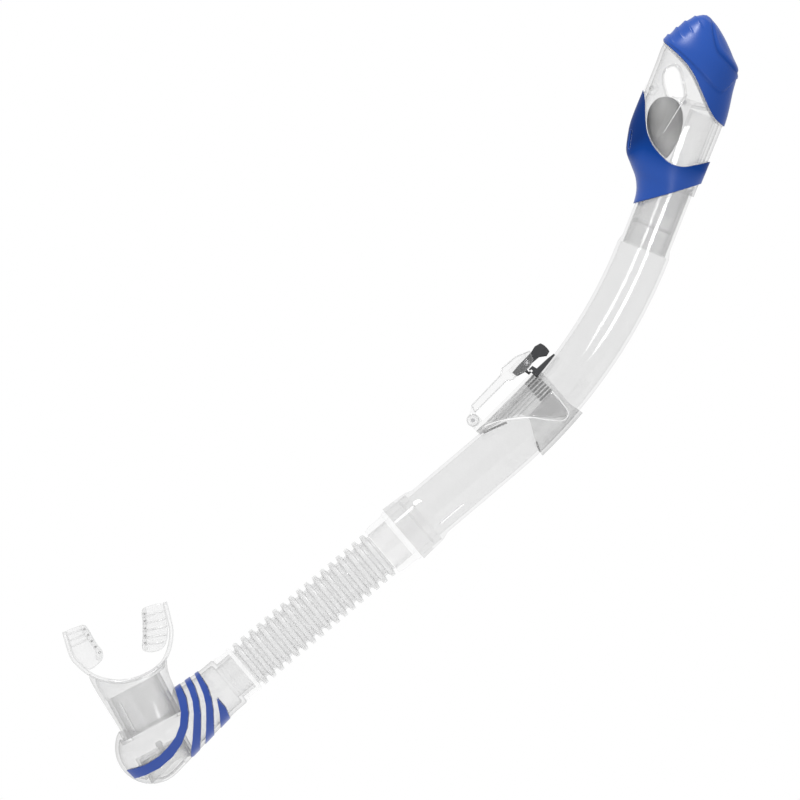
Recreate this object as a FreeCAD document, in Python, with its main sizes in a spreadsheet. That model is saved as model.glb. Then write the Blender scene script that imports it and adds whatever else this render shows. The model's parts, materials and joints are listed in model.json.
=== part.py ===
import FreeCAD, Part
import math
import os
import Sketcher

# A dry-top snorkel, lying in its own XZ plane: the mouth end is up and to the left, the dry top is
# up and to the right, and +Z is the way up for a swimmer whose face is down in the water.
# The origin is the middle of the slot that the mask strap runs through. Sizes are in millimetres.

doc = FreeCAD.newDocument("Snorkel")
sheet = doc.addObject("Spreadsheet::Sheet", "Sizes")

SIZES = [
    ("barrel_radius", 14.3), ("barrel_bore", 12.7), ("barrel_low_angle", 40.3),
    ("barrel_bend_radius", 268), ("barrel_bend_angle", 28.2), ("barrel_low_length", 46),
    ("barrel_top_radius", 13.1), ("barrel_top_bore", 11.7), ("barrel_top_length", 38),
    ("bell_radius", 16.8), ("bell_bore", 14.9), ("bell_length", 18.2),
    ("spigot_radius", 11.6), ("spigot_bore", 9.8), ("duct_radius", 7.6), ("duct_bore", 6.3),
    ("duct_offset", 3.3), ("duct_top", 77),
    ("housing_wall", 1.8), ("skin_wall", 1),
    ("pin_radius", 1), ("running_gap", 0.05),
    ("float_radius", 9.6), ("float_length", 32),
    ("flap_radius", 7.8), ("flap_thickness", 1.5),
    ("band_radius", 16.4), ("band_gap", 0.08),
    ("strap_slot_width", 6.2), ("strap_slot_length", 23.5), ("clip_width", 18),
    ("gate_thickness", 3.8), ("gate_width", 14), ("hub_radius", 2.8),
    ("latch_width", 8), ("catch_reach", 15),
    ("cuff_radius", 14.7), ("hose_radius", 13.5), ("hose_root", 10.8), ("hose_wall", 1),
    ("rib_pitch", 5.41), ("rib_count", 17), ("hose_top", 79), ("hose_end", 171.5),
    ("lower_cuff_radius", 13.2), ("lower_cuff_length", 10.5),
    ("neck_radius", 10.9), ("chamber_start_radius", 14.2), ("bulb_radius", 18.9),
    ("bulb_station", 236), ("chamber_wall", 1.8), ("stripe_thickness", 0.9),
    ("mouth_spigot_radius", 15.5), ("mouth_spigot_bore", 13.6), ("mouth_spigot_length", 31), ("cuff_seat_radius", 17.8),
    ("purge_radius", 13), ("purge_offset", -2.3), ("seat_thickness", 1.5),
    ("diaphragm_radius", 11.3), ("diaphragm_thickness", 0.8), ("purge_lift", 1.3),
    ("mouth_cuff_radius", 17.3), ("mouth_height", 26), ("tab_thickness", 5),
]
for row, (alias, amount) in enumerate(SIZES, start=1):
    sheet.set("A%d" % row, alias)
    sheet.set("B%d" % row, str(amount))
    sheet.setAlias("B%d" % row, alias)
doc.recompute()


def size(alias):
    return float(sheet.get(alias))


def cell(alias):
    return "Sizes." + alias


def tilted(x, z, lean):
    """A placement in the XZ plane whose local Z leans from the vertical towards +X."""
    return FreeCAD.Placement(FreeCAD.Vector(x, 0, z), FreeCAD.Rotation(FreeCAD.Vector(0, 1, 0), lean))


def point_in(frame, x, y, z):
    return frame.multVec(FreeCAD.Vector(x, y, z))


# The frames that the pieces are drawn in. Each one's local Z runs along its own axis.
LOW_ANGLE = math.radians(size("barrel_low_angle"))
BEND = size("barrel_bend_radius")
BEND_START = FreeCAD.Vector(0.2, 0, -28.9)
BEND_CENTRE = BEND_START + FreeCAD.Vector(-math.sin(LOW_ANGLE), 0, math.cos(LOW_ANGLE)) * BEND
TOP_LEAN = 90 - size("barrel_low_angle") - size("barrel_bend_angle")
TOP_HEADING = math.radians(90 - TOP_LEAN)
BEND_END = BEND_CENTRE + FreeCAD.Vector(math.sin(TOP_HEADING), 0, -math.cos(TOP_HEADING)) * BEND

TUBE = tilted(BEND_START.x, BEND_START.z, 90 - size("barrel_low_angle"))
TOP = tilted(BEND_END.x, BEND_END.z, TOP_LEAN)
CLIP = tilted(0, 0, 45)
MOUTH = tilted(-174.6, -177.1, -28)
HOME = FreeCAD.Placement()


def finish(obj, label):
    """Names a finished sub-part."""
    obj.Label = label
    NODES.append(obj)
    return obj


NODES = []


# ---- building blocks -------------------------------------------------------------------------

def bound(obj, bindings):
    """Sets properties from sheet expressions or plain numbers."""
    for prop, term in bindings.items():
        if isinstance(term, str):
            obj.setExpression(prop, term)
        else:
            setattr(obj, prop, term)
    return obj


def cylinder(name, radius, height, frame, x=0.0, y=0.0, z=0.0):
    """A cylinder along the frame's local Z from the given local point."""
    obj = bound(doc.addObject("Part::Cylinder", name), {"Radius": radius, "Height": height})
    seam_aside = FreeCAD.Rotation(FreeCAD.Vector(0, 0, 1), 37)
    obj.Placement = frame.multiply(FreeCAD.Placement(FreeCAD.Vector(x, y, z), seam_aside))
    return obj


def cross_pin(name, radius, length, frame, x, z):
    """A cylinder along Y, centred on y = 0."""
    obj = bound(doc.addObject("Part::Cylinder", name), {"Radius": radius, "Height": length})
    turn = FreeCAD.Rotation(FreeCAD.Vector(1, 0, 0), 90)
    obj.Placement = frame.multiply(FreeCAD.Placement(FreeCAD.Vector(x, length / 2.0, z), turn))
    return obj


def box(name, low, high, frame):
    """A box between two local corners."""
    obj = doc.addObject("Part::Box", name)
    obj.Length, obj.Width, obj.Height = [b - a for a, b in zip(low, high)]
    obj.Placement = frame.multiply(FreeCAD.Placement(FreeCAD.Vector(*low), FreeCAD.Rotation()))
    return obj


def cut(name, base, *tools):
    """Takes the tools off the base one after another."""
    for i, tool in enumerate(tools):
        obj = doc.addObject("Part::Cut", name if tool is tools[-1] else "%sStep%d" % (name, i))
        obj.Base, obj.Tool = base, tool
        base = obj
    return base


def fuse(name, *shapes):
    obj = doc.addObject("Part::MultiFuse", name)
    obj.Shapes = list(shapes)
    return obj


def common(name, *shapes):
    obj = doc.addObject("Part::MultiCommon", name)
    obj.Shapes = list(shapes)
    return obj


def plane_of(body, role):
    return [f for f in body.Origin.OriginFeatures if f.Role == role][0]


def drawn_sketch(body, path, closed=True):
    """A sketch on the body's XZ plane. Each entry of the path is a point, or (point through, point)
    for an arc."""
    sketch = body.newObject("Sketcher::SketchObject", body.Name + "Sketch")
    sketch.AttachmentSupport = [(plane_of(body, "XZ_Plane"), "")]
    sketch.MapMode = "FlatFace"
    here = path[0]
    stops = path[1:] + ([path[0]] if closed else [])
    for step in stops:
        if isinstance(step[0], tuple):
            middle, end = step
            arc = Part.Arc(*[FreeCAD.Vector(p[0], p[1], 0) for p in (here, middle, end)])
            sketch.addGeometry(arc, False)
        else:
            end = step
            line = Part.LineSegment(FreeCAD.Vector(here[0], here[1], 0), FreeCAD.Vector(end[0], end[1], 0))
            sketch.addGeometry(line, False)
        here = end
    return sketch


def lathe(name, path, frame):
    """A body turned about the frame's local Z from a (radius, height) outline."""
    body = doc.addObject("PartDesign::Body", name)
    turned = body.newObject("PartDesign::Revolution", name + "Turn")
    sketch = drawn_sketch(body, path)
    turned.Profile = sketch
    turned.ReferenceAxis = (sketch, ["V_Axis"])
    turned.Angle = 360
    body.Tip = turned
    body.Placement = frame
    return body


def plate(name, path, low_y, high_y, frame):
    """A body with a (local X, local Z) outline, from low_y to high_y."""
    body = doc.addObject("PartDesign::Body", name)
    pad = body.newObject("PartDesign::Pad", name + "Pad")
    pad.Profile = drawn_sketch(body, path)
    pad.Length = high_y - low_y
    body.Tip = pad
    body.Placement = frame.multiply(FreeCAD.Placement(FreeCAD.Vector(0, high_y, 0), FreeCAD.Rotation()))
    return body


def bend(name, radius, angle):
    """The part of a torus that follows the barrel's bend up from its lower end."""
    obj = bound(doc.addObject("Part::Torus", name), {"Radius1": cell("barrel_bend_radius"), "Radius2": radius})
    obj.Angle1, obj.Angle2 = -180, 180
    bound(obj, {"Angle3": angle})
    out = FreeCAD.Vector(math.sin(LOW_ANGLE), 0, -math.cos(LOW_ANGLE))
    along = FreeCAD.Vector(math.cos(LOW_ANGLE), 0, math.sin(LOW_ANGLE))
    obj.Placement = FreeCAD.Placement(BEND_CENTRE, FreeCAD.Rotation(out, along, out.cross(along), "ZXY"))
    return obj


def smooth_loft(name, stations, inset, frame):
    """A solid through oval sections (height, left, right, half depth), each drawn in by the inset."""
    wires = []
    for height, left, right, depth in stations:
        across, deep = (right - left) / 2.0 - inset, depth - inset
        if min(across, deep) < 1:
            continue
        stretch = FreeCAD.Matrix()
        stretch.scale(across, deep, 1)
        stretch.move((left + right) / 2.0, 0, height)
        wires.append(Part.Wire([Part.Circle().toShape().transformGeometry(stretch)]))
    obj = doc.addObject("Part::Feature", name)
    obj.Shape = Part.makeLoft(wires, True, True)
    obj.Placement = frame
    return obj


# ---- barrel ----------------------------------------------------------------------------------

def make_barrel():
    low, bell = size("barrel_low_length"), size("bell_length")
    outer = fuse(
        "BarrelOuter",
        bend("BarrelBend", cell("barrel_radius"), cell("barrel_bend_angle")),
        cylinder("BarrelLow", cell("barrel_radius"), cell("barrel_low_length"), TUBE, z=-low),
        lathe("BarrelBell", [(0, -low), (14.3, -low), (15.7, -low - 4), (size("bell_radius"), -low - bell),
                             (0, -low - bell)], TUBE),
        lathe("BarrelNeck", [(0, 0), (14.3, 0), (13.1, 4), (13.1, size("barrel_top_length")),
                             (0, size("barrel_top_length"))], TOP))
    inner = [
        bend("BarrelBendBore", cell("barrel_bore"), cell("barrel_bend_angle")),
        cylinder("BarrelLowBore", cell("barrel_bore"), cell("barrel_low_length"), TUBE, z=-low),
        lathe("BarrelBellBore", [(0, -low), (12.7, -low), (12.7, -low - 4), (size("bell_bore"), -low - 4.4),
                                 (size("bell_bore"), -low - bell - 1), (0, -low - bell - 1)], TUBE),
        cylinder("BarrelNeckBore", cell("barrel_top_bore"), cell("barrel_top_length"), TOP)]
    slots = [box("BellSlot%d" % i, (10, -1.4 + y, -low - bell - 1), (20, 1.4 + y, -low - bell + 7), TUBE)
             for i, y in enumerate((0,))]
    slots += [box("BellSlotBack", (-20, -1.4, -low - bell - 1), (-10, 1.4, -low - bell + 7), TUBE)]
    return finish(cut("Barrel", outer, *(inner + slots)), "barrel")


# ---- dry top ---------------------------------------------------------------------------------

TOP_STATIONS = [
    (18.3, -14.3, 14.3, 14.3), (26, -15.4, 14.5, 14.7), (32.5, -18.4, 14.6, 15.2), (37.5, -22.8, 14.6, 15.8),
    (43, -27.6, 14.7, 16.4), (50, -29.9, 14.8, 17), (59, -31.4, 14.9, 17.5), (77, -31.4, 14.8, 17.8),
    (92, -31.4, 12.6, 17.2), (103, -31.2, 10.6, 15.8), (110, -27.8, 4.6, 13.4), (116.5, -24.2, -2, 10),
    (121.5, -19.8, -8.4, 6.4), (124, -16.8, -12.4, 2.6)]
WINDOW = [(-23.5, 78), (-25.2, 86), ((-24.6, 92), (-20.8, 93.8)), ((-16.4, 92), (-14.4, 87)), (-10.6, 80),
          (-11.5, 76.5), (-19, 76.5)]
PIVOT = (-8.2, 79.2)
OPEN_ANGLE = 10


def make_housing():
    """The clear case round the float, open at two windows and at the floor round the barrel."""
    outside = smooth_loft("HousingOuter", TOP_STATIONS, size("skin_wall"), TOP)
    inside = smooth_loft("HousingInner", TOP_STATIONS, size("skin_wall") + size("housing_wall"), TOP)
    above_floor = common("HousingCase", outside, box("AboveFloor", (-40, -30, 34), (30, 30, 130), TOP))
    room = common("HousingRoom", inside, box("RoomBox", (-40, -30, 36), (30, 30, 130), TOP))
    hole = cylinder("HousingHole", size("barrel_top_radius") + 0.02, 10, TOP, z=30)
    windows = plate("HousingWindows", WINDOW, -30, 30, TOP)
    drains = [box("HousingDrain%d" % i, (-36, y - 1.2, 45.3), (-24, y + 1.2, 54.4), TOP)
              for i, y in enumerate((-6, 0, 6))]
    return finish(cut("Housing", above_floor, room, hole, windows, *drains), "dry_top_housing")


def outer_skin(name):
    """The skin that the two coloured covers are cut from."""
    outside = smooth_loft(name + "Outer", TOP_STATIONS, 0, TOP)
    below = [(10, -14.3, 14.3, 14.3)]
    core = smooth_loft(name + "Core", below + TOP_STATIONS, size("skin_wall"), TOP)
    return cut(name + "Skin", outside, core)


def make_collar():
    region = plate("CollarRegion", [
        (-40, -2), (20, 44.5), (20, 56), (14.2, 52.4), ((9, 47.6), (2.9, 44.8)), ((-4.1, 44.2), (-12.3, 47.1)),
        ((-18, 51.2), (-21.8, 55.8)), ((-26.5, 64), (-30.6, 77)), (-33, 80), (-40, 80)], -30, 30, TOP)
    drains = [box("CollarDrain%d" % i, (-36, y - 1.2, 45.3), (-24, y + 1.2, 54.4), TOP)
              for i, y in enumerate((-6, 0, 6))]
    return finish(common("Collar", cut("CollarDrained", outer_skin("Collar"), *drains), region),
                  "dry_top_collar")


def make_crown():
    region = plate("CrownRegion", [
        (-40, 103), (-31.5, 103), (-27.4, 102.2), ((-18.6, 98.2), (-9.9, 91.2)), (8.9, 75.9), (14.6, 72.6),
        (30, 66), (30, 135), (-40, 135)], -30, 30, TOP)
    vents = []
    for i, (x, z) in enumerate([(-29.4, 108.4), (-26.4, 112.8), (-23.2, 117.2), (-19.8, 121)]):
        slot = box("CrownVent%d" % i, (-1.6, -4.5, -0.7), (1.6, 4.5, 0.7), TOP)
        slot.Placement = TOP.multiply(tilted(x, z, 38)).multiply(
            FreeCAD.Placement(FreeCAD.Vector(-1.6, -4.5, -0.7), FreeCAD.Rotation()))
        vents.append(slot)
    return finish(cut("Crown", common("CrownForm", outer_skin("Crown"), region), *vents), "crown_cap")


def make_airway():
    """The plug in the barrel's top end, the duct above it that the flap shuts, and the pin's two ears."""
    top, off = size("duct_top"), size("duct_offset")
    ear = [(1, 64), (1, 76), (-3, 76.4), (-6.5, 81.4), (-10, 81.4), (-10, 77.2), (-5, 68)]
    solid = fuse(
        "AirwaySolid",
        cylinder("AirwayPlug", cell("spigot_radius"), 38, TOP),
        cylinder("AirwayFlange", cell("barrel_top_radius"), 2, TOP, z=38),
        cylinder("AirwayDuct", cell("duct_radius"), top - 39, TOP, x=off, z=39),
        plate("EarLeft", ear, 4.6, 6.4, TOP),
        plate("EarRight", ear, -6.4, -4.6, TOP))
    groove = lathe("AirwayGroove", [(10.1, 12), (13, 12), (13, 14), (10.1, 14)], TOP)
    return finish(cut(
        "Airway", solid,
        cylinder("AirwayPlugBore", cell("spigot_bore"), 36, TOP, z=-1),
        cylinder("AirwayDuctBore", cell("duct_bore"), top, TOP, x=off, z=30),
        cross_pin("AirwayPinHole", cell("pin_radius"), 20, TOP, *PIVOT), groove), "airway_tube")


def make_airway_seal():
    ring = bound(doc.addObject("Part::Torus", "AirwaySeal"), {"Radius1": 10.9, "Radius2": 0.75})
    ring.Placement = TOP.multiply(FreeCAD.Placement(FreeCAD.Vector(0, 0, 13), FreeCAD.Rotation()))
    return finish(ring, "airway_seal")


def make_lever_pin():
    return finish(cross_pin("LeverPin", cell("pin_radius"), 13.2, TOP, *PIVOT), "lever_pin")


def lever_frame():
    """The frame that the lever is drawn shut in, turned back about its pin to where it hangs open."""
    about = FreeCAD.Placement(FreeCAD.Vector(PIVOT[0], 0, PIVOT[1]),
                              FreeCAD.Rotation(FreeCAD.Vector(0, 1, 0), -OPEN_ANGLE))
    back = FreeCAD.Placement(FreeCAD.Vector(-PIVOT[0], 0, -PIVOT[1]), FreeCAD.Rotation())
    return TOP.multiply(about).multiply(back)


def make_lever():
    """Flap carrier, hub on the pin, and a fork down both sides of the float."""
    shut = lever_frame()
    off, top = size("duct_offset"), size("duct_top")
    under = top + 0.05 + size("flap_thickness")
    disc = cylinder("LeverDisc", size("flap_radius") - 0.4, 1.4, shut, x=off, z=under)
    hub = cross_pin("LeverHub", 2.1, 9, shut, *PIVOT)
    arm = plate("LeverArm", [(-8.2, 77.4), (-5.2, under), (4, under), (4, under + 1.4), (-7, 81.2)], -3.5, 3.5, shut)
    yoke = plate("LeverYoke", [(-9.8, 77.8), (-6.3, 80.6), (-9.6, 81.2), (-14.5, 79.4), (-13, 78.2)], -4.5, 4.5, TOP)
    bridge = plate("LeverBridge", [(-15.5, 79.6), (-12, 79.6), (-12, 78.2), (-15.5, 78.2)], -11.2, 11.2, TOP)
    fork = [plate("LeverFork%d" % i, [(-15.5, 79.6), (-12, 79.6), (-11.2, 68), (-14.6, 56), (-16.4, 57), (-15, 68)],
                  low, low + 1.2, TOP) for i, low in enumerate((-11.2, 10))]
    whole = fuse("LeverWhole", disc, hub, arm, yoke, bridge, *fork)
    bore = cross_pin("LeverBore", size("pin_radius") + size("running_gap"), 20, TOP, *PIVOT)
    return finish(cut("Lever", whole, bore), "float_lever")


def make_flap():
    flap = cylinder("Flap", cell("flap_radius"), cell("flap_thickness"), lever_frame(),
                    x=size("duct_offset"), z=size("duct_top") + 0.05)
    return finish(flap, "flap_seal")


def make_float():
    """A sealed teardrop that hangs plumb, with a short pin on each side for the lever's fork."""
    centre = point_in(TOP, -14.9, 0, 61.6)
    upright = FreeCAD.Placement(centre, FreeCAD.Rotation())
    wide, half = size("float_radius"), size("float_length") / 2.0
    body = lathe("FloatBody", [(0, half), ((wide * 0.74, half * 0.72), (wide, 1.5)),
                               ((wide * 0.8, -half * 0.5), (1.8, -half)), (0, -half)], upright)
    pins = cross_pin("FloatPins", 1.2, 20, upright, 0, 0)
    return finish(fuse("Float", body, pins), "float")


def make_peg():
    """The peg across the narrow edge of the case, from one wall to the other."""
    room = smooth_loft("PegRoom", TOP_STATIONS, size("skin_wall") + size("housing_wall") + 0.01, TOP)
    return finish(common("Peg", cross_pin("PegForm", 1.3, 24, TOP, -27, 79.6), room), "housing_peg")


# ---- snorkel keeper --------------------------------------------------------------------------

def keeper_bore(name):
    ring = bend(name, size("barrel_radius") + size("band_gap"), 40)
    ring.Placement = FreeCAD.Placement(BEND_CENTRE, FreeCAD.Rotation(FreeCAD.Vector(0, 1, 0), 15)).multiply(
        FreeCAD.Placement(BEND_CENTRE, FreeCAD.Rotation()).inverse()).multiply(ring.Placement)
    return ring


def keeper_ring(name, radius):
    ring = bend(name, radius, 40)
    ring.Placement = FreeCAD.Placement(BEND_CENTRE, FreeCAD.Rotation(FreeCAD.Vector(0, 1, 0), 15)).multiply(
        FreeCAD.Placement(BEND_CENTRE, FreeCAD.Rotation()).inverse()).multiply(ring.Placement)
    return ring


def make_band():
    """A band that slides along the barrel's bend, wide at the back of the tube and waisted at the sides."""
    region = plate("BandRegion", [
        (3, -19.4), (7.2, -19.4), ((9.6, -8), (13.9, 2.7)), (17.5, 4.2), (20.1, 4.2), (28.4, -0.7), (34.3, -4),
        (40, -4.4), (40, 26.4), (37.7, 26.4), (28.7, 24.7), (10.2, 26), (3, 26)], -25, 25, CLIP)
    shell = common("BandForm", keeper_ring("BandOuter", size("band_radius")), region)
    return finish(cut("Band", shell, keeper_bore("BandBore")), "keeper_band")


def make_clip_base():
    """The saddle on the band: one wall of the strap slot, and two ears for the gate's pin."""
    half, side = size("strap_slot_width") / 2.0, size("clip_width") / 2.0
    block = plate("ClipBlock", [(half, -13.5), (half, 21), (5, 22), (11, 22), (11, -8), (9.5, -16), (7, -20),
                                (1.5, -19.8), (-3.6, -17.4), (-3.6, -14.6), (-1, -13.4)], -side, side, CLIP)
    hub_room = box("ClipHubRoom", (-6, -5.3, -25), (2.9, 5.3, -10), CLIP)
    round_ears = cross_pin("ClipHubClear", 3.1, 10.6, CLIP, -0.8, -16.9)
    pin_hole = cross_pin("ClipPinHole", cell("pin_radius"), 30, CLIP, -0.8, -16.9)
    flutes = []
    for i, x in enumerate((4.1, 5.7, 7.3, 8.9)):
        for j, y in enumerate((-side - 0.5, side - 0.5)):
            flutes.append(box("ClipFlute%d%d" % (i, j), (x, y, -8 + 2 * i), (x + 0.7, y + 1, 19), CLIP))
    body = cut("ClipCut", block, keeper_ring("ClipSaddle", size("band_radius") + 0.01), hub_room, round_ears,
               pin_hole, *flutes)
    return finish(body, "clip_base")


def make_catch():
    """The dark catch on the clip's top end: a hook for the latch and two finger prongs."""
    side = size("clip_width") / 2.0
    bar = plate("CatchBar", [(3.1, 22.1), (10.4, 22.1), (9.2, 25.6), (3.6, 25.6), (1, 24.9), (1, 22.3), (1.9, 22.3),
                             (1.9, 23.3), (3.1, 23.3)], -side, side, CLIP)
    prongs = [plate("CatchProng%d" % i, [(3.6, 25.5), (7.4, 25.5), (6.6, 33), (6.3, 37.2), (4.4, 37.2), (3.9, 33)],
                    low, low + 2.6, CLIP) for i, low in enumerate((-side, side - 2.6))]
    body = cut("Catch", fuse("CatchForm", bar, *prongs), keeper_ring("CatchSaddle", size("band_radius") + 0.01))
    return finish(body, "latch_catch")


def make_gate_pin():
    return finish(cross_pin("GatePin", cell("pin_radius"), 17, CLIP, -0.8, -16.9), "gate_pin")


def make_gate():
    """The bar that closes the strap slot, with a forked head for the latch lever."""
    half, side = size("strap_slot_width") / 2.0, size("gate_width") / 2.0
    outer = -half - size("gate_thickness")
    bar = plate("GateBar", [(-half, -13), (-half, 10.2), (-1.2, 12.4), (-1.2, 14), (-6.4, 14), (-6.4, 27), (-5.4, 29.6),
                            ((-8.4, 22), (-9.2, 13)), (outer - 0.3, 10), (outer + 0.3, -12)], -side, side, CLIP)
    web = plate("GateWeb", [(outer + 0.3, -12), (-half, -13), (0.8, -14.6), (0.8, -19), (-3, -18.6)], -5.1, 5.1, CLIP)
    hub = cross_pin("GateHub", cell("hub_radius"), 10.2, CLIP, -0.8, -16.9)
    cheeks = [plate("GateCheek%d" % i, [(-6.5, 14), (-6.5, 27), (-5.4, 29.4), (-1.2, 27.5), (0.2, 24), (0.2, 20),
                                        (-1.2, 17), (-1.2, 14)], low, low + 1.7, CLIP)
              for i, low in enumerate((-side, side - 1.7))]
    body = cut("Gate", fuse("GateForm", bar, web, hub, *cheeks),
               cross_pin("GateBore", size("pin_radius") + size("running_gap"), 30, CLIP, -0.8, -16.9),
               cross_pin("GateLatchHole", 0.8, 30, CLIP, -2.2, 24))
    return finish(body, "strap_gate")


def make_latch():
    """The dark lever that is squeezed towards the prongs; its toe hooks under the catch."""
    half = size("latch_width") / 2.0
    lever = plate("LatchForm", [(-3.9, 15), (-0.8, 15.4), (0.6, 20), (3, 20.4), (3, 22.2), (2.1, 22.2), (1.9, 21.4),
                                (0.2, 21.6), (-0.1, 26), (0.3, 30.5),
                                (2.7, 33.8), (2, 36.5), ((-1.2, 36.9), (-4.4, 36.2)), (-5.3, 33), (-4.5, 29.6),
                                (-4.3, 20)], -half, half, CLIP)
    return finish(cut("Latch", lever, cross_pin("LatchBore", 0.85, 30, CLIP, -2.2, 24)), "latch_lever")


def make_latch_pin():
    return finish(cross_pin("LatchPin", 0.8, 14, CLIP, -2.2, 24), "latch_pin")


def make_latch_spring():
    """Three touching turns of wire round the latch pin, between the lever and one cheek."""
    rings = []
    for i in range(3):
        ring = bound(doc.addObject("Part::Torus", "SpringTurn%d" % i), {"Radius1": 1.35, "Radius2": 0.2})
        ring.Placement = CLIP.multiply(FreeCAD.Placement(
            FreeCAD.Vector(-2.2, -4.3 - 0.34 * i, 24), FreeCAD.Rotation(FreeCAD.Vector(1, 0, 0), 90)))
        rings.append(ring)
    return finish(fuse("LatchSpring", *rings), "latch_spring")


# ---- hose ------------------------------------------------------------------------------------

def make_upper_cuff():
    """The hose's top end fitting, plugged up into the barrel's bell."""
    r, start = size("cuff_radius"), 50.6
    return finish(lathe("UpperCuff", [
        (11.5, -start), (r, -start), (r, -54), (13.6, -54), (13.6, -56.2), (r, -56.2), (r, -64.3), (15.6, -64.3),
        (15.6, -66.4), (r, -67), (r, -75), (13.9, -78.9), (11.5, -78.9)], TUBE), "hose_upper_cuff")


def make_cuff_seal():
    ring = bound(doc.addObject("Part::Torus", "CuffSeal"), {"Radius1": 14.24, "Radius2": 0.62})
    ring.Placement = TUBE.multiply(FreeCAD.Placement(FreeCAD.Vector(0, 0, -55.1), FreeCAD.Rotation()))
    return finish(ring, "cuff_seal")


def make_hose():
    """Bellows: equal ribs at an even pitch, with the bore following the outside."""
    top, end = size("hose_top"), size("hose_end")
    crest, root, wall, pitch = size("hose_radius"), size("hose_root"), size("hose_wall"), size("rib_pitch")
    first = 81.8
    outside, inside = [], []
    for i in range(int(size("rib_count"))):
        middle = first + pitch * i
        outside += [(root, -middle + 0.48 * pitch), (crest - 0.6, -middle + 0.24 * pitch), (crest, -middle),
                    (crest - 0.6, -middle - 0.24 * pitch)]
        inside += [(root - wall, -middle + 0.48 * pitch), (crest - 0.6 - wall, -middle + 0.14 * pitch),
                   (crest - 0.6 - wall, -middle - 0.14 * pitch)]
    outside.append((root, -end))
    inside.append((root - wall, -end))
    outside[0] = (root, -top)
    inside[0] = (root - wall, -top)
    return finish(lathe("Hose", outside + inside[::-1], TUBE), "corrugated_hose")


def make_lower_cuff():
    start = size("hose_end")
    end = start + size("lower_cuff_length")
    r = size("lower_cuff_radius")
    bore = size("neck_radius") + 0.07
    return finish(lathe("LowerCuff", [
        (9.8, -start - 0.05), (12.6, -start - 0.05), (13.9, -start - 1), (13.9, -start - 2.2), (r, -start - 2.6),
        (r, -end + 2), (14, -end + 1.6), (14, -end), (bore, -end), (bore, -start - 2.4), (9.8, -start - 2.4)], TUBE),
        "hose_lower_cuff")


# ---- chamber ---------------------------------------------------------------------------------

def bulb(name, grow, nose=182.3):
    """The elbow's outer form, turned about the hose's axis: a cone that runs into a round end."""
    station, radius = size("bulb_station"), size("bulb_radius") + grow
    start = size("chamber_start_radius") + grow
    lift = math.asin((radius - start) / 46.0)
    touch = (radius * math.cos(lift), -station + radius * math.sin(lift))
    middle = (radius * math.cos(math.radians(45)), -station - radius * math.sin(math.radians(45)))
    return lathe(name, [(0, -nose), (start - 0.8, -nose), (start, -nose - 0.8), (start, -190), touch,
                        (middle, (0, -station - radius))], TUBE)


def stripe_outlines():
    """The blue inlays' side outlines, in the tube's frame. Their ends run past the chamber's edge, so
    that each band passes round to the other side."""
    return [
        ("stripe_inner", [
            (-19, -205.2), (-9.7, -209), (-4.3, -211.9), (0.7, -216.8), (3.8, -222.3), (5.3, -228.2), (5.9, -235.2),
            (5.1, -242.3), (3.1, -248.5), (0.6, -253.2), (6.7, -252.8), (9, -247), (10.8, -239.4), (10.8, -230.3),
            (8.8, -222.6), (4.6, -215.2), (-1, -209.5), (-7.9, -205.3), (-19, -202.2)]),
        ("stripe_middle", [
            (-19, -199.3), (-9.9, -201.6), (-4.6, -203.7), (0.8, -207.4), (5.9, -212.1), (10.6, -216.6),
            (14.6, -221.1), (21, -226.6), (21, -220.8), (13.9, -214.2), (8.4, -209.2), (3, -204.7), (-2.9, -201),
            (-9.1, -198.3), (-19, -196.1)]),
        ("stripe_outer", [
            (-19, -192.9), (-8.7, -195.5), (-3.6, -197.1), (1.4, -199.7), (6.5, -203.8), (11.7, -208.4), (21, -217.4),
            (21, -210.6), (10.8, -202.5), (5.7, -198.5), (0.5, -195.4), (-5.3, -193.1), (-19, -191.2)]),
        ("stripe_tip", [(2.3, -193.1), (9.1, -192.9), (20, -196.4), (20, -205), (9.4, -197.2)])]


def stripe_form(label, outline, grow):
    """The outline pushed through the chamber's skin."""
    skin = cut(label + "Skin", bulb(label + "Out", 0.3 + grow), bulb(label + "In", 0.3 - size("stripe_thickness")))
    around_mouth = cylinder(label + "Clear", size("cuff_seat_radius") + 0.4, 60, MOUTH)
    over_well = cylinder(label + "Well", size("purge_radius") + 0.02, 40, MOUTH, x=size("purge_offset"), z=-44)
    band = common(label + "Form", skin, plate(label + "Side", outline, -30, 30, TUBE))
    return cut(label + "Cut", band, around_mouth, over_well)


def make_stripes():
    return [finish(stripe_form(label, outline, 0), label) for label, outline in stripe_outlines()]


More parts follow.
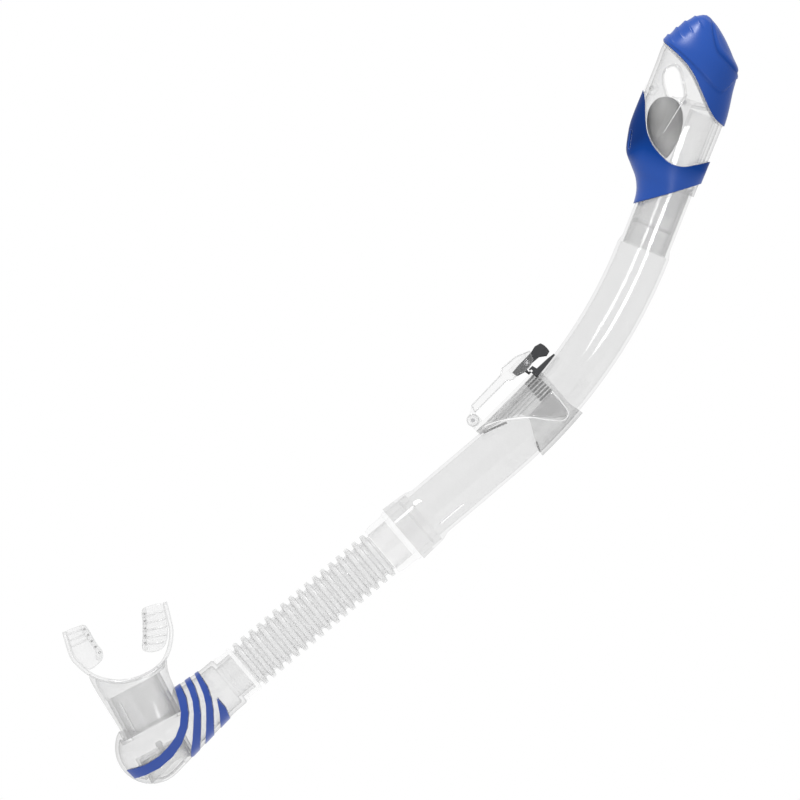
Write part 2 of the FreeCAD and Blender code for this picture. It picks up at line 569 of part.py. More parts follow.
def make_chamber():
    """The clear elbow under the mouth: neck in the hose's cuff, spigot with a round seat for the mouthpiece's
    cuff, and a purge well below."""
    wall, off = size("chamber_wall"), size("purge_offset")
    neck = cylinder("ChamberNeck", cell("neck_radius"), 9, TUBE, z=-183)
    outer = bulb("ChamberOuter", 0)
    spigot = cylinder("ChamberSpigot", cell("mouth_spigot_radius"), cell("mouth_spigot_length"), MOUTH)
    room = cut("ChamberRoom", bulb("ChamberInner", -wall, 184.3),
               cylinder("CuffSeatWall", size("cuff_seat_radius") + 1.6, 40, MOUTH, z=6.4))
    seat = cut("CuffSeat", cylinder("CuffSeatOuter", cell("cuff_seat_radius"), 30, MOUTH, z=7.98),
               cylinder("CuffSeatInner", cell("mouth_spigot_radius"), 40, MOUTH, z=5))
    hollow = [
        room, seat,
        cylinder("ChamberNeckBore", 9.4, 30, TUBE, z=-200),
        cylinder("ChamberSpigotBore", cell("mouth_spigot_bore"), 40, MOUTH)]
    shell = cut("ChamberShell", fuse("ChamberSolid", neck, outer, spigot), *hollow)
    sleeve = common("PurgeSleeve", bulb("SleeveForm", 0),
                    cylinder("SleeveOuter", size("purge_radius") + 1.5, 32, MOUTH, x=off, z=-35))
    shell = fuse("ChamberWithSleeve", shell, sleeve)
    well = [cylinder("PurgeWell", cell("purge_radius"), 32, MOUTH, x=off, z=-36),
            cylinder("PurgeThroat", size("purge_radius") - 1.6, 40, MOUTH, x=off, z=-36)]
    inlays = [stripe_form("In" + label.title().replace("_", ""), outline, 1) for label, outline in stripe_outlines()]
    return finish(cut("Chamber", shell, *(well + inlays)), "chamber")


def make_seat():
    """The valve's seat: a round plate with six ports round the hub."""
    off, thick = size("purge_offset"), size("seat_thickness")
    disc = cylinder("SeatDisc", size("purge_radius") - 0.03, thick, MOUTH, x=off, z=-4.02 - thick)
    holes = [cylinder("SeatHub", 1.6, 5, MOUTH, x=off, z=-7)]
    for i in range(6):
        turn = math.radians(60 * i + 30)
        holes.append(cylinder("SeatPort%d" % i, 2.6, 5, MOUTH, x=off + 6.8 * math.cos(turn), y=6.8 * math.sin(turn),
                              z=-7))
    return finish(cut("Seat", disc, *holes), "purge_seat")


def make_diaphragm():
    top = -4.07 - size("seat_thickness")
    low, r, rise = top - size("diaphragm_thickness"), size("diaphragm_radius"), size("purge_lift")
    frame = MOUTH.multiply(FreeCAD.Placement(FreeCAD.Vector(size("purge_offset"), 0, 0), FreeCAD.Rotation()))
    return finish(lathe("Diaphragm", [
        (0, low - 0.6), (2.4, low - 0.6), (3, low), (r, low + 0.2), (r, top), (1.5, top), (1.5, -4 + rise), (2.1, -3.9 + rise),
        (1.4, -1.6 + rise), (0, -1.4 + rise)], frame), "purge_diaphragm")


def make_purge_cover():
    """A vented cap that finishes the elbow's round end and holds the seat in its well."""
    off = size("purge_offset")
    top = -4.1 - size("seat_thickness")
    plug = common("CoverForm", bulb("CoverOuter", 0),
                  cylinder("CoverPlug", size("purge_radius") - 0.03, 30, MOUTH, x=off, z=top - 30))
    room = common("CoverRoom", bulb("CoverInner", -size("chamber_wall")),
                  cylinder("CoverBore", size("purge_radius") - 1.3, 31, MOUTH, x=off, z=top - 30.5))
    slots = [box("CoverSlot%d" % i, (off - 9 + 4.4 * i, -7.5 + abs(2 - i), -40), (off - 6.8 + 4.4 * i, 7.5 - abs(2 - i), -13.5),
                 MOUTH) for i in range(5)]
    return finish(cut("Cover", plug, room, *slots), "purge_cover")


def make_mouth_ring():
    return finish(lathe("MouthRing", [(15.52, 8), (17, 8), (17.4, 8.6), (17.4, 9.6), (17, 10.1), (15.52, 10.1)], MOUTH),
                  "mouth_ring")


def make_mouthpiece():
    """The soft bite: a cuff over the spigot, the curved lip shield and a bite tab on each arm."""
    bore = size("mouth_spigot_radius") + 0.07
    half, tab = size("mouth_height") / 2.0, size("tab_thickness") / 2.0
    cuff = lathe("MouthCuff", [(0, 10.2), (size("mouth_cuff_radius"), 10.2), (17.6, 22), (18.3, 29), (17.6, 34.5),
                               (13, 39.5), (0, 39.5)], MOUTH)
    shield = plate("MouthShield", [
        (-18.4, 72.9), (-20.7, 60.9), ((-19.7, 52.4), (-16.3, 45.3)), ((-9, 37), (-0.5, 33.8)), ((6.5, 32.5), (14, 32.9)),
        ((20.9, 35.5), (26.8, 40.8)), ((31.2, 47), (33.3, 54.7)), (35.2, 61.9), (33.2, 62.4), (31.3, 55),
        ((29.4, 48), (25.2, 42.3)), ((20, 37.5), (13.6, 35)), ((6.6, 34.6), (0.3, 35.9)), ((-8, 39.2), (-14.5, 46.4)),
        ((-18, 53.4), (-18.7, 61)), (-16.6, 72.8)], -half, half, MOUTH)
    tabs = [
        plate("BiteLeft", [(-17.2, 73.2), (-8, 71.6), (-6.6, 70), (-6.6, 62), ((-4.9, 55), (-8.6, 50.3)),
                           (-16.4, 49.6), (-18.9, 55), (-19.4, 61)], -tab, tab, MOUTH),
        plate("BiteRight", [(22.3, 63.8), (23.4, 64.6), (33.8, 62), (32, 54.8), ((30, 47.6), (26, 42.2)), (22.8, 41.2),
                            ((16, 42.2), (13, 46.4))], -tab, tab, MOUTH)]
    rims = [
        plate("RimLeft", [(-9.4, 71.8), (-8, 71.6), (-6.6, 70), (-6.6, 62), ((-4.9, 55), (-8.6, 50.3)), (-10, 52),
                          ((-7.4, 56), (-8.8, 62)), (-9.4, 69)], -tab - 3, tab + 3, MOUTH),
        plate("RimRight", [(22.3, 63.8), (23.4, 64.6), (25.2, 64), (16.4, 46.8), (15.2, 44), (13, 46.4)],
              -tab - 3, tab + 3, MOUTH)]
    whole = fuse("MouthSolid", cuff, shield, *(tabs + rims))
    return finish(cut(
        "Mouthpiece", whole,
        cylinder("MouthCuffBore", bore, size("mouth_spigot_length") - 8.5, MOUTH, z=9),
        cylinder("MouthBore", 9.5, 14, MOUTH, z=30)), "mouthpiece")


def build():
    make_barrel()
    make_housing()
    make_collar()
    make_crown()
    make_airway()
    make_airway_seal()
    make_lever_pin()
    make_lever()
    make_flap()
    make_float()
    make_peg()
    make_band()
    make_clip_base()
    make_catch()
    make_gate_pin()
    make_gate()
    make_latch()
    make_latch_pin()
    make_latch_spring()
    make_upper_cuff()
    make_cuff_seal()
    make_hose()
    make_lower_cuff()
    make_chamber()
    make_stripes()
    make_seat()
    make_diaphragm()
    make_purge_cover()
    make_mouth_ring()
    make_mouthpiece()


def check_and_write():
    failed = [o.Name for o in doc.Objects if {"Invalid", "Error"} & set(o.State)]
    if failed:
        raise RuntimeError("these objects failed: " + ", ".join(failed))
    os.makedirs("parts", exist_ok=True)
    for obj in NODES:
        shape = obj.Shape
        if shape.isNull() or not shape.isValid():
            raise RuntimeError(obj.Label + " has no valid shape")
        print("%-18s %d solid(s) %9.1f mm3" % (obj.Label, len(shape.Solids), shape.Volume))
        shape.exportStep("parts/%s.step" % obj.Label)


build()
doc.recompute()
check_and_write()
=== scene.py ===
import json
import math

import bmesh
import bpy
from mathutils import Matrix, Vector


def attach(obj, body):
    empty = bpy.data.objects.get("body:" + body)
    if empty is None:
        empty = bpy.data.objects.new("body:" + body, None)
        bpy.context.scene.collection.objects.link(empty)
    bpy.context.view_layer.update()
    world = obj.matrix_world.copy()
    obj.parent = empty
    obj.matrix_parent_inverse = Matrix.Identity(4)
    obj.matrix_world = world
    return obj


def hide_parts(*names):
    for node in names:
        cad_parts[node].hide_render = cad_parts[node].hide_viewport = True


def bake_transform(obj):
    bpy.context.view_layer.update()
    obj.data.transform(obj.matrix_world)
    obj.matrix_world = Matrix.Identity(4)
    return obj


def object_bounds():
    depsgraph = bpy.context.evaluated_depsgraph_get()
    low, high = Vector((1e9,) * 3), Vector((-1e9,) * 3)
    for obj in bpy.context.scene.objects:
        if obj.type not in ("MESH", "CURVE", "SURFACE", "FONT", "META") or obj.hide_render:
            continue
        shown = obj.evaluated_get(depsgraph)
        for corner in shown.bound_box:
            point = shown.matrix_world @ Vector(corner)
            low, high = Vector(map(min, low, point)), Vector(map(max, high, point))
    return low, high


# A clear dry-top snorkel. The CAD frame lies in the XZ plane. Pieces are drawn in millimetres in the
# same four local frames as the CAD: three follow from the frame's joints, and the clip's is on the origin.

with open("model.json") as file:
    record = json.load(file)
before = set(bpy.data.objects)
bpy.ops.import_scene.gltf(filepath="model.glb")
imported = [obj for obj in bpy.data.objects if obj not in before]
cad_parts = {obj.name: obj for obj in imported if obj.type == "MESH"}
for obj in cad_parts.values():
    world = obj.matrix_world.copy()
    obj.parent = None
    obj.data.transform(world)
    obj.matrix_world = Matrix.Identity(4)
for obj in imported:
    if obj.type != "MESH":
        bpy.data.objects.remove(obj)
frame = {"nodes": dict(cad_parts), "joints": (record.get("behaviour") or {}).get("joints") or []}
CAD_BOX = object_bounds()
MM = 0.001
JOINTS = {joint["name"]: joint for joint in frame["joints"]}


# ---- frames ------------------------------------------------------------------------------------

def tilted(origin, lean):
    """A millimetre frame in the XZ plane. Its local Z leans from the vertical towards +X."""
    return Matrix.Translation(origin) @ Matrix.Rotation(lean, 4, "Y") @ Matrix.Scale(MM, 4)


def joint_frame(name, along):
    """The frame whose local Z is a joint's axis, with the joint's own point at local z = along."""
    joint = JOINTS[name]
    axis = Vector(joint["axis"])
    return tilted(Vector(joint["pos_m"]) - axis * along * MM, math.atan2(axis.x, axis.z))


BEND_RADIUS = 268
BEND_ANGLE = math.radians(28.2)
TUBE = joint_frame("elbow_turn", -181)
MOUTH = joint_frame("mouthpiece_turn", 20)
CLIP = tilted(Vector((0, 0, 0)), math.radians(45))
BEND_CENTRE = Vector(JOINTS["keeper_slide"]["pos_m"])
TOP_LEAN = TUBE.to_euler().y - BEND_ANGLE
BEND_ARM = Vector((math.cos(TOP_LEAN), 0, -math.sin(TOP_LEAN))) * BEND_RADIUS * MM
TOP = tilted(BEND_CENTRE + BEND_ARM, TOP_LEAN)
# The dry top's case and covers stand a little up and to the right of the tube's own frame.
SHELLS = TOP @ Matrix.Translation((0.6, 0, 1))


# ---- meshes ------------------------------------------------------------------------------------

def piece(name, mesh, body, material, stands_for=(), smooth=True):
    """Links a finished mesh as a piece that rides on a body."""
    obj = bpy.data.objects.new(name, mesh)
    bpy.context.scene.collection.objects.link(obj)
    mesh.materials.append(material)
    for face in mesh.polygons:
        face.use_smooth = smooth
    if body:
        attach(obj, body)
    if stands_for:
        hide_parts(*stands_for)
    return obj


def mesh_from(name, build, matrix):
    """A mesh built by a function in a local frame, with its normals outwards."""
    bm = bmesh.new()
    build(bm)
    bmesh.ops.remove_doubles(bm, verts=bm.verts, dist=1e-4)
    bmesh.ops.recalc_face_normals(bm, faces=bm.faces)
    bm.transform(matrix)
    mesh = bpy.data.meshes.new(name)
    bm.to_mesh(mesh)
    bm.free()
    return mesh


def skin(bm, rings, closed_ends=True):
    """Joins closed loops of points with quads, and puts a face over the first and last loops."""
    rows = [[bm.verts.new(p) for p in ring] for ring in rings]
    for low, high in zip(rows, rows[1:]):
        for i in range(len(low)):
            j = (i + 1) % len(low)
            bm.faces.new((low[i], low[j], high[j], high[i]))
    if closed_ends:
        bm.faces.new(rows[0])
        bm.faces.new(rows[-1])


def ring_skin(bm, rings):
    """Joins closed loops of points into a ring-shaped solid, the last loop to the first."""
    skin(bm, rings + rings[:1], closed_ends=False)


def round_turns(count):
    """Evenly spaced angles over one full turn."""
    return [2 * math.pi * i / count for i in range(count)]


def circle(radius, z, count, x=0.0):
    return [Vector((x + radius * math.cos(t), radius * math.sin(t), z)) for t in round_turns(count)]


def lathe(bm, outline, count=72):
    """A closed solid of revolution about local Z from a closed (radius, z) outline."""
    ring_skin(bm, [circle(r, z, count) for r, z in outline])


def box_outline(low_x, low_z, high_x, high_z):
    return [(low_x, low_z), (high_x, low_z), (high_x, high_z), (low_x, high_z)]


def curve_points(points, per_span, closed=False):
    """A smooth curve through 2-D points, as Catmull-Rom spans."""
    count = len(points)
    spans = count if closed else count - 1
    out = []
    for i in range(spans):
        ends = [points[(i + k) % count] if closed else points[min(max(i + k, 0), count - 1)]
                for k in (-1, 0, 1, 2)]
        a, b, c, d = [Vector(p) for p in ends]
        for step in range(per_span):
            t = step / per_span
            out.append(0.5 * (2 * b + (c - a) * t + (2 * a - 5 * b + 4 * c - d) * t ** 2
                              + (3 * b - a - 3 * c + d) * t ** 3))
    if not closed:
        out.append(Vector(points[-1]))
    return out


def plate(bm, outline, low_y, high_y):
    """An (x, z) outline pushed through from low_y to high_y."""
    loops = [[Vector((p[0], y, p[1])) for p in outline] for y in (low_y, high_y)]
    skin(bm, loops)


def bevel(obj, width, segments=3):
    """Rounds an object's hard edges, with a width in millimetres."""
    mod = obj.modifiers.new("Edges", "BEVEL")
    mod.width = width * MM
    mod.segments = segments
    mod.limit_method = "ANGLE"
    mod.angle_limit = math.radians(35)


CORD_SIDES = 8


def cord(bm, points, radius, closed=False):
    """A round cord through 3-D points, for lips and beads."""
    ring = circle(radius, 0, CORD_SIDES)
    last = len(points) - 1
    rings = []
    for i, p in enumerate(points):
        if closed:
            before, after = points[i - 1], points[(i + 1) % len(points)]
        else:
            before, after = points[max(i - 1, 0)], points[min(i + 1, last)]
        turn = (after - before).normalized().to_track_quat("Z", "Y")
        rings.append([p + turn @ q for q in ring])
    if closed:
        ring_skin(bm, rings)
    else:
        skin(bm, rings)


def trim(obj, tool_mesh, operation="DIFFERENCE"):
    """Cuts a closed mesh out of an object, or keeps only what is inside it, and applies the cut."""
    tool = bpy.data.objects.new("tool", tool_mesh)
    bpy.context.scene.collection.objects.link(tool)
    mod = obj.modifiers.new("Trim", "BOOLEAN")
    mod.object = tool
    mod.operation = operation
    mod.solver = "EXACT"
    bpy.context.view_layer.update()
    result = obj.evaluated_get(bpy.context.evaluated_depsgraph_get())
    trimmed = bpy.data.meshes.new_from_object(result)
    obj.modifiers.clear()
    obj.data = trimmed
    bpy.data.objects.remove(tool)
    for face in trimmed.polygons:
        face.use_smooth = True


# ---- materials ---------------------------------------------------------------------------------

class Nodes:
    """A short way to add and join shader nodes."""

    def __init__(self, name):
        self.material = bpy.data.materials.new(name)
        self.material.use_nodes = True
        self.tree = self.material.node_tree
        self.tree.nodes.clear()
        self.out = self.add("ShaderNodeOutputMaterial")

    def add(self, kind, inputs=None, **settings):
        node = self.tree.nodes.new(kind)
        for key, value in settings.items():
            setattr(node, key, value)
        for key, value in (inputs or {}).items():
            if isinstance(value, bpy.types.NodeSocket):
                self.tree.links.new(value, node.inputs[key])
            else:
                node.inputs[key].default_value = value
        return node

    def noise(self, scale, detail):
        place = self.add("ShaderNodeTexCoord").outputs["Object"]
        speckle = self.add("ShaderNodeTexNoise", {"Vector": place, "Scale": scale, "Detail": detail})
        return speckle.outputs["Fac"]

    def spread(self, value, low, high):
        return self.add("ShaderNodeMapRange", {"Value": value, "To Min": low, "To Max": high}).outputs[0]

    def blend(self, factor, a, b):
        mix = self.add("ShaderNodeMix", data_type="RGBA")
        for socket, value in ((mix.inputs[0], factor), (mix.inputs[6], a), (mix.inputs[7], b)):
            if isinstance(value, bpy.types.NodeSocket):
                self.tree.links.new(value, socket)
            else:
                socket.default_value = value
        return mix.outputs[2]

    def bump(self, height, distance, strength):
        return self.add("ShaderNodeBump", {"Height": height, "Distance": distance,
                                           "Strength": strength}).outputs[0]

    def done(self, shader):
        self.tree.links.new(shader.outputs[0], self.out.inputs["Surface"])
        return self.material


def grey(level):
    return (level, level, level, 1)


def clear(name, through, edge, haze, body=0.8, rough=0.06, wave=0.0, power=3.0):
    """See-through plastic: what passes each face, what passes it at a slant, and how milky it is."""
    n = Nodes(name)
    slant = n.add("ShaderNodeLayerWeight", {"Blend": 0.5}).outputs["Facing"]
    curve = n.add("ShaderNodeMath", {0: slant, 1: power}, operation="POWER").outputs[0]
    tint = n.blend(curve, grey(through), grey(edge))
    window = n.add("ShaderNodeBsdfTransparent", {"Color": tint})
    shade = n.blend(n.noise(260, 4), grey(body), grey(body * 0.94))
    solid = n.add("ShaderNodeBsdfPrincipled", {"Base Color": shade, "Roughness": 0.45})
    milk = n.spread(n.noise(120, 3), haze * 0.8, haze * 1.2)
    inside = n.add("ShaderNodeMixShader", {0: milk, 1: window.outputs[0], 2: solid.outputs[0]})
    polish = n.spread(n.noise(700, 3), rough * 0.7, rough * 1.4)
    gloss = n.add("ShaderNodeBsdfGlossy", {"Color": grey(1), "Roughness": polish})
    if wave:
        n.tree.links.new(n.bump(n.noise(90, 2), 0.0006, wave), gloss.inputs["Normal"])
    steep = n.add("ShaderNodeMath", {0: slant, 1: 5.0}, operation="POWER").outputs[0]
    mirror = n.spread(steep, 0.04, 0.6)
    return n.done(n.add("ShaderNodeMixShader", {0: mirror, 1: inside.outputs[0], 2: gloss.outputs[0]}))


def moulded(name, colour, dark, rough, grain=500, depth=0.00004, metal=0.0, shine=0.5, painted_light_tone=None):
    """Opaque moulded plastic or metal with a fine grain and slow drifts of colour and gloss, and where
    asked, light painted into the colour from a value stored on each point.
    """
    n = Nodes(name)
    drift = n.spread(n.noise(28, 4), 0.0, 1.0)
    tone = n.blend(drift, (*colour, 1), (*dark, 1))
    if painted_light_tone:
        # The value stored on each point paints light into the colour: it turns the tone to a second one and
        # dulls the shine, as painted shade on the blue covers and a painted highlight on the float.
        painted_light = n.add("ShaderNodeAttribute", attribute_name="painted_light").outputs["Fac"]
        tone = n.blend(painted_light, tone, (*painted_light_tone, 1))
        dulled = n.add("ShaderNodeMapRange", {"Value": painted_light, "From Max": 0.5, "To Min": shine,
                                              "To Max": 0.03})
        shine = dulled.outputs[0]
    normal = n.bump(n.noise(grain * 3, 5), depth, 0.6)
    return n.done(n.add("ShaderNodeBsdfPrincipled", {
        "Base Color": tone, "Roughness": n.spread(n.noise(grain, 4), rough * 0.85, rough * 1.15),
        "Metallic": metal, "Normal": normal, "Specular IOR Level": shine}))


CLEAR = clear("clear_plastic", 0.936, 0.84, 0.01, wave=0.02, power=5.0)
ELBOW = clear("elbow_plastic", 0.945, 0.55, 0.02, wave=0.05, power=3.5)
CASE = clear("case_plastic", 0.968, 0.60, 0.02, wave=0.05, power=3.0)
PLUG = clear("plug_plastic", 0.925, 0.72, 0.03, body=0.6, power=3.0)
BASE = clear("base_plastic", 0.97, 0.84, 0.03, wave=0.02, power=2.4)
BAND = clear("band_plastic", 0.935, 0.6, 0.05, wave=0.03, power=2.4)
WING = clear("wing_plastic", 0.90, 0.6, 0.02, wave=0.03, power=2.4)
# A darker grey copy of the clip's clear plastic: painted shade on the grip ribs.
RIB_SHADE = clear("rib_shade_plastic", 0.70, 0.55, 0.05, body=0.4, power=2.4)
EDGE = clear("edge_plastic", 0.94, 0.84, 0.04, body=0.7, power=2.4)
DUCT = clear("duct_plastic", 0.975, 0.78, 0.02, power=3.0)
SPIGOT = clear("spigot_plastic", 0.966, 0.82, 0.02, body=0.6, power=3.0)
# Dark grey silicone: painted shade in the rims' notches and along the clip's heel and waist.
SHADE_SILICONE = clear("dimple_silicone", 0.72, 0.6, 0.05, body=0.5, power=2.4)
FLUTE = clear("flute_plastic", 0.92, 0.75, 0.02, power=1.6)
FROSTED = clear("frosted_rubber", 0.930, 0.82, 0.12, body=0.84, rough=0.3, wave=0.02, power=2.0)
SEAL = clear("cuff_rubber", 0.935, 0.86, 0.08, body=0.86, rough=0.2, wave=0.02, power=3.0)
FLAP = clear("flap_silicone", 0.86, 0.7, 0.10, body=0.55, rough=0.2, power=3.0)
RING = clear("ring_silicone", 0.983, 0.93, 0.03, body=0.9, rough=0.2, power=3.0)
SOFT = clear("soft_silicone", 0.955, 0.70, 0.10, body=0.85, rough=0.16, power=2.2)
LIP = clear("clear_lip", 0.97, 0.9, 0.25, body=0.95, rough=0.1)
# The bright milky plastic also makes the barrel's painted highlights, as ribs.
BRIGHT = clear("bright_edge", 0.97, 0.95, 0.45, body=0.97, rough=0.1)
# The blue's second, deeper tone is painted shade on the crown and the collar.
BLUE = moulded("royal_blue", (0.006, 0.056, 0.30), (0.004, 0.046, 0.25), 0.34, shine=0.32,
               painted_light_tone=(0.004, 0.024, 0.125))
INLAY = moulded("blue_inlay", (0.012, 0.050, 0.27), (0.009, 0.040, 0.225), 0.3, shine=0.4)
DARK = moulded("dark_grey", (0.022, 0.023, 0.026), (0.014, 0.015, 0.017), 0.38)
# The float's second, paler tone is a painted highlight towards its tip.
FLOAT = moulded("float_grey", (0.27, 0.27, 0.265), (0.20, 0.20, 0.195), 0.55, grain=800, depth=0.0001,
                painted_light_tone=(0.62, 0.61, 0.60))
STEEL = moulded("steel", (0.55, 0.55, 0.56), (0.45, 0.45, 0.46), 0.25, metal=1.0)


def dress(materials):
    """Gives carried-over CAD nodes their material, in place."""
    for node, material in materials.items():
        obj = frame["nodes"][node]
        obj.data.materials.clear()
        obj.data.materials.append(material)


dress({
    "barrel": CLEAR, "dry_top_housing": CASE, "dry_top_collar": BLUE, "crown_cap": BLUE,
    "airway_tube": DUCT, "airway_seal": RING, "lever_pin": STEEL, "float_lever": CASE,
    "flap_seal": SEAL, "float": FLOAT, "housing_peg": PLUG, "keeper_band": BAND, "clip_base": BASE,
    "latch_catch": DARK, "gate_pin": STEEL, "strap_gate": BASE, "latch_lever": DARK,
    "latch_pin": STEEL, "latch_spring": STEEL, "hose_upper_cuff": RING, "cuff_seal": RING,
    "corrugated_hose": FROSTED, "hose_lower_cuff": RING, "chamber": ELBOW, "stripe_inner": INLAY,
    "stripe_middle": INLAY, "stripe_outer": INLAY, "stripe_tip": INLAY, "purge_seat": RING,
    "purge_diaphragm": FLAP, "purge_cover": ELBOW, "mouth_ring": PLUG, "mouthpiece": SOFT})

# The clip's hard edges are rounded over, so that they catch the light.
for node in ("strap_gate", "clip_base", "latch_lever", "latch_catch"):
    weld = frame["nodes"][node].modifiers.new("Join", "WELD")
    weld.merge_threshold = 0.00001
    bevel(frame["nodes"][node], 0.5)


# ---- camera and light --------------------------------------------------------------------------

FRAMED_WIDTH = 0.416
LENS, SENSOR = 600.0, 36.0
FLOOR_DROP = 0.055
VIEW_SHIFT = 0.00015


def add_camera():
    """Level, square on to the object's plane, framed a little wider than the object."""
    low, high = CAD_BOX
    data = bpy.data.cameras.new("camera")
    data.lens = LENS
    data.sensor_width = SENSOR
    data.clip_start = 0.05
    data.clip_end = 20
    camera = bpy.data.objects.new("camera", data)
    distance = FRAMED_WIDTH * LENS / SENSOR
    camera.location = ((low.x + high.x) / 2 + VIEW_SHIFT, -distance, (low.z + high.z) / 2)
    camera.rotation_euler = (math.radians(90), 0, 0)
    bpy.context.scene.collection.objects.link(camera)
    bpy.context.scene.camera = camera


def area_lamp(name, width, length, power):
    data = bpy.data.lights.new(name, "AREA")
    data.shape = "RECTANGLE"
    data.size = width
    data.size_y = length
    data.energy = power
    lamp = bpy.data.objects.new(name, data)
    bpy.context.scene.collection.objects.link(lamp)
    return lamp


def add_strip(side, distance, along, width, length, power):
    """A long lamp parallel to the upper tube, at an angle round it from straight at the viewer."""
    origin = TOP @ Vector((0, 0, along))
    axis = (TOP.to_3x3() @ Vector((0, 0, 1))).normalized()
    left = (TOP.to_3x3() @ Vector((-1, 0, 0))).normalized()
    towards = Vector((0, -1, 0)) * math.cos(side) + left * math.sin(side)
    lamp = area_lamp("strip", width, length, power)
    across = axis.cross(towards).normalized()
    turn = Matrix((across, axis, towards)).transposed().to_4x4()
    lamp.matrix_world = Matrix.Translation(origin + towards * distance) @ turn
    lamp.visible_camera = False


def add_key(place, target, size, power):
    """The main lamp, above and in front."""
    lamp = area_lamp("key", size, size, power)
    lamp.location = place
    lamp.rotation_euler = (target - place).to_track_quat("-Z", "Y").to_euler()


def add_world():
    world = bpy.data.worlds.new("white")
    world.use_nodes = True
    world.node_tree.nodes["Background"].inputs["Color"].default_value = (1, 1, 1, 1)
    world.node_tree.nodes["Background"].inputs["Strength"].default_value = 1.0
    bpy.context.scene.world = world


def add_floor():
    low, high = CAD_BOX
    bm = bmesh.new()
    bmesh.ops.create_circle(bm, cap_ends=True, radius=0.55, segments=96)
    mesh = bpy.data.meshes.new("floor")
    bm.to_mesh(mesh)
    bm.free()
    n = Nodes("pale_floor")
    tone = n.blend(n.noise(6, 3), grey(0.93), grey(0.9))
    paint = n.add("ShaderNodeBsdfPrincipled", {"Base Color": tone, "Roughness": 0.7})
    mesh.materials.append(n.done(paint))
    floor = bpy.data.objects.new("floor", mesh)
    floor.location = ((low.x + high.x) / 2, 0, low.z - FLOOR_DROP)
    bpy.context.scene.collection.objects.link(floor)


def light_scene():
    scene = bpy.context.scene
    scene.view_settings.view_transform = "Standard"
    scene.view_settings.look = "None"
    scene.cycles.transparent_max_bounces = 48
    add_world()
    add_floor()
    add_camera()
    add_strip(math.radians(-20), 0.9, along=-29.5, width=0.18, length=0.155, power=0.83)
    add_key(Vector((-0.22, -0.40, 1.28)), Vector((0.1, 0, 0.19)), size=0.32, power=13)


# ---- dry top -----------------------------------------------------------------------------------

# (height, left, right, half depth) of the dry top's ovals, as in the CAD.
TOP_STATIONS = [
    (18.3, -14.3, 14.3, 14.3), (26, -15.4, 14.5, 14.7), (32.5, -18.4, 14.6, 15.2),
    (37.5, -22.8, 14.6, 15.8), (43, -27.6, 14.7, 16.4), (50, -29.9, 14.8, 17), (59, -31.4, 14.9, 17.5),
    (77, -31.4, 14.8, 17.8), (92, -31.4, 12.6, 17.2), (103, -31.2, 10.6, 15.8), (110, -27.8, 4.6, 13.4),
    (116.5, -24.2, -2, 10), (121.5, -19.8, -8.4, 6.4), (124, -16.8, -12.4, 2.6)]
TOP_FOOT, TOP_TIP = TOP_STATIONS[0][0], TOP_STATIONS[-1][0]
COVER_WALL, COVER_COUNT = 0.98, 160
CASE_OUTSIDE, CASE_INSIDE = 1.02, 2.8


def smooth_step(value, low, high):
    t = min(max((value - low) / (high - low), 0.0), 1.0)
    return t * t * (3 - 2 * t)


def hump(value, middle, width):
    return math.exp(-((value - middle) / width) ** 2)


def along_table(rows, column, height):
    """A smooth reading of one column of a table, by its height."""
    last = len(rows) - 2
    i = 0
    while i < last and rows[i + 1][0] < height:
        i += 1
    low, high = rows[i], rows[i + 1]
    before, after = rows[max(i - 1, 0)], rows[min(i + 2, len(rows) - 1)]
    span = high[0] - low[0]
    t = min(max((height - low[0]) / span, 0.0), 1.0)
    rise_low = (high[column] - before[column]) / (high[0] - before[0]) * span
    rise_high = (after[column] - low[column]) / (after[0] - low[0]) * span
    return ((2 * t ** 3 - 3 * t ** 2 + 1) * low[column] + (t ** 3 - 2 * t ** 2 + t) * rise_low
            + (3 * t ** 2 - 2 * t ** 3) * high[column] + (t ** 3 - t ** 2) * rise_high)


def top_point(height, turn, inset=0.0):
    """A point on the dry top's skin, at a height and an angle round it."""
    left, right, depth = [along_table(TOP_STATIONS, column, height) for column in (1, 2, 3)]
    across = max((right - left) / 2 - inset, 0.2)
    deep = max(depth - inset, 0.2)
    return Vector(((left + right) / 2 + across * math.cos(turn), deep * math.sin(turn), height))


def meeting(edge, turn, inset):
    """The height where the skin's line at this angle crosses an edge given as height(x)."""
    low, high = TOP_FOOT, TOP_TIP
    for _ in range(40):
        middle = (low + high) / 2
        if middle < edge(top_point(middle, turn, inset).x):
            low = middle
        else:
            high = middle
    return (low + high) / 2


def edge_of(points):
    """Height as a smooth function of x, through points that run from left to right."""
    def height(x):
        return along_table(points, 1, min(max(x, points[0][0]), points[-1][0]))
    return height


# The covers' edges on the skin, as (x, height) points.
CROWN_EDGE = edge_of([(-31.4, 104), (-28.6, 102.6), (-22.6, 100.2), (-17.6, 98), (-14.6, 96.4),
                      (-10.6, 93.6), (-7.6, 91), (-4.6, 88), (-1.6, 85), (1.4, 82), (4.4, 79.2),
                      (7.4, 76.8), (10.4, 75.2), (14.8, 74)])
COLLAR_TOP = edge_of([(-31.4, 76.4), (-28.6, 71.4), (-26.6, 66.6), (-24.6, 62), (-22.6, 58),
                      (-20.6, 55.2), (-17.6, 52), (-14.6, 49.8), (-11, 47.8), (-7.6, 46.4), (-4.6, 45.6),
                      (-1.6, 45.4), (1.4, 45.9), (4.4, 47.1), (7.4, 49), (10.4, 51), (14.8, 54.2)])
COLLAR_FOOT = edge_of([(-31.4, 6.6), (-12.6, 20.8), (1.4, 31.2), (14.8, 42)])
PLATE_EDGE = edge_of([(-31.4, 104.5), (-20, 101), (-9.2, 96.4), (-1.2, 92.4), (5.4, 90), (7.6, 91),
                      (9.6, 95), (10.8, 98.5), (14.8, 101)])
RIDGE = edge_of([(-12.7, 125), (-7.6, 115.4), (-2.9, 109), (2.6, 106), (10.5, 102.4)])


GROOVE_END = -12.5
LOUVRE_FOOT = (-31.5, 103)
LOUVRE_WAY = (0.66, 0.75)
LOUVRE_PITCH, LOUVRE_HEIGHT = 5.6, 0.9


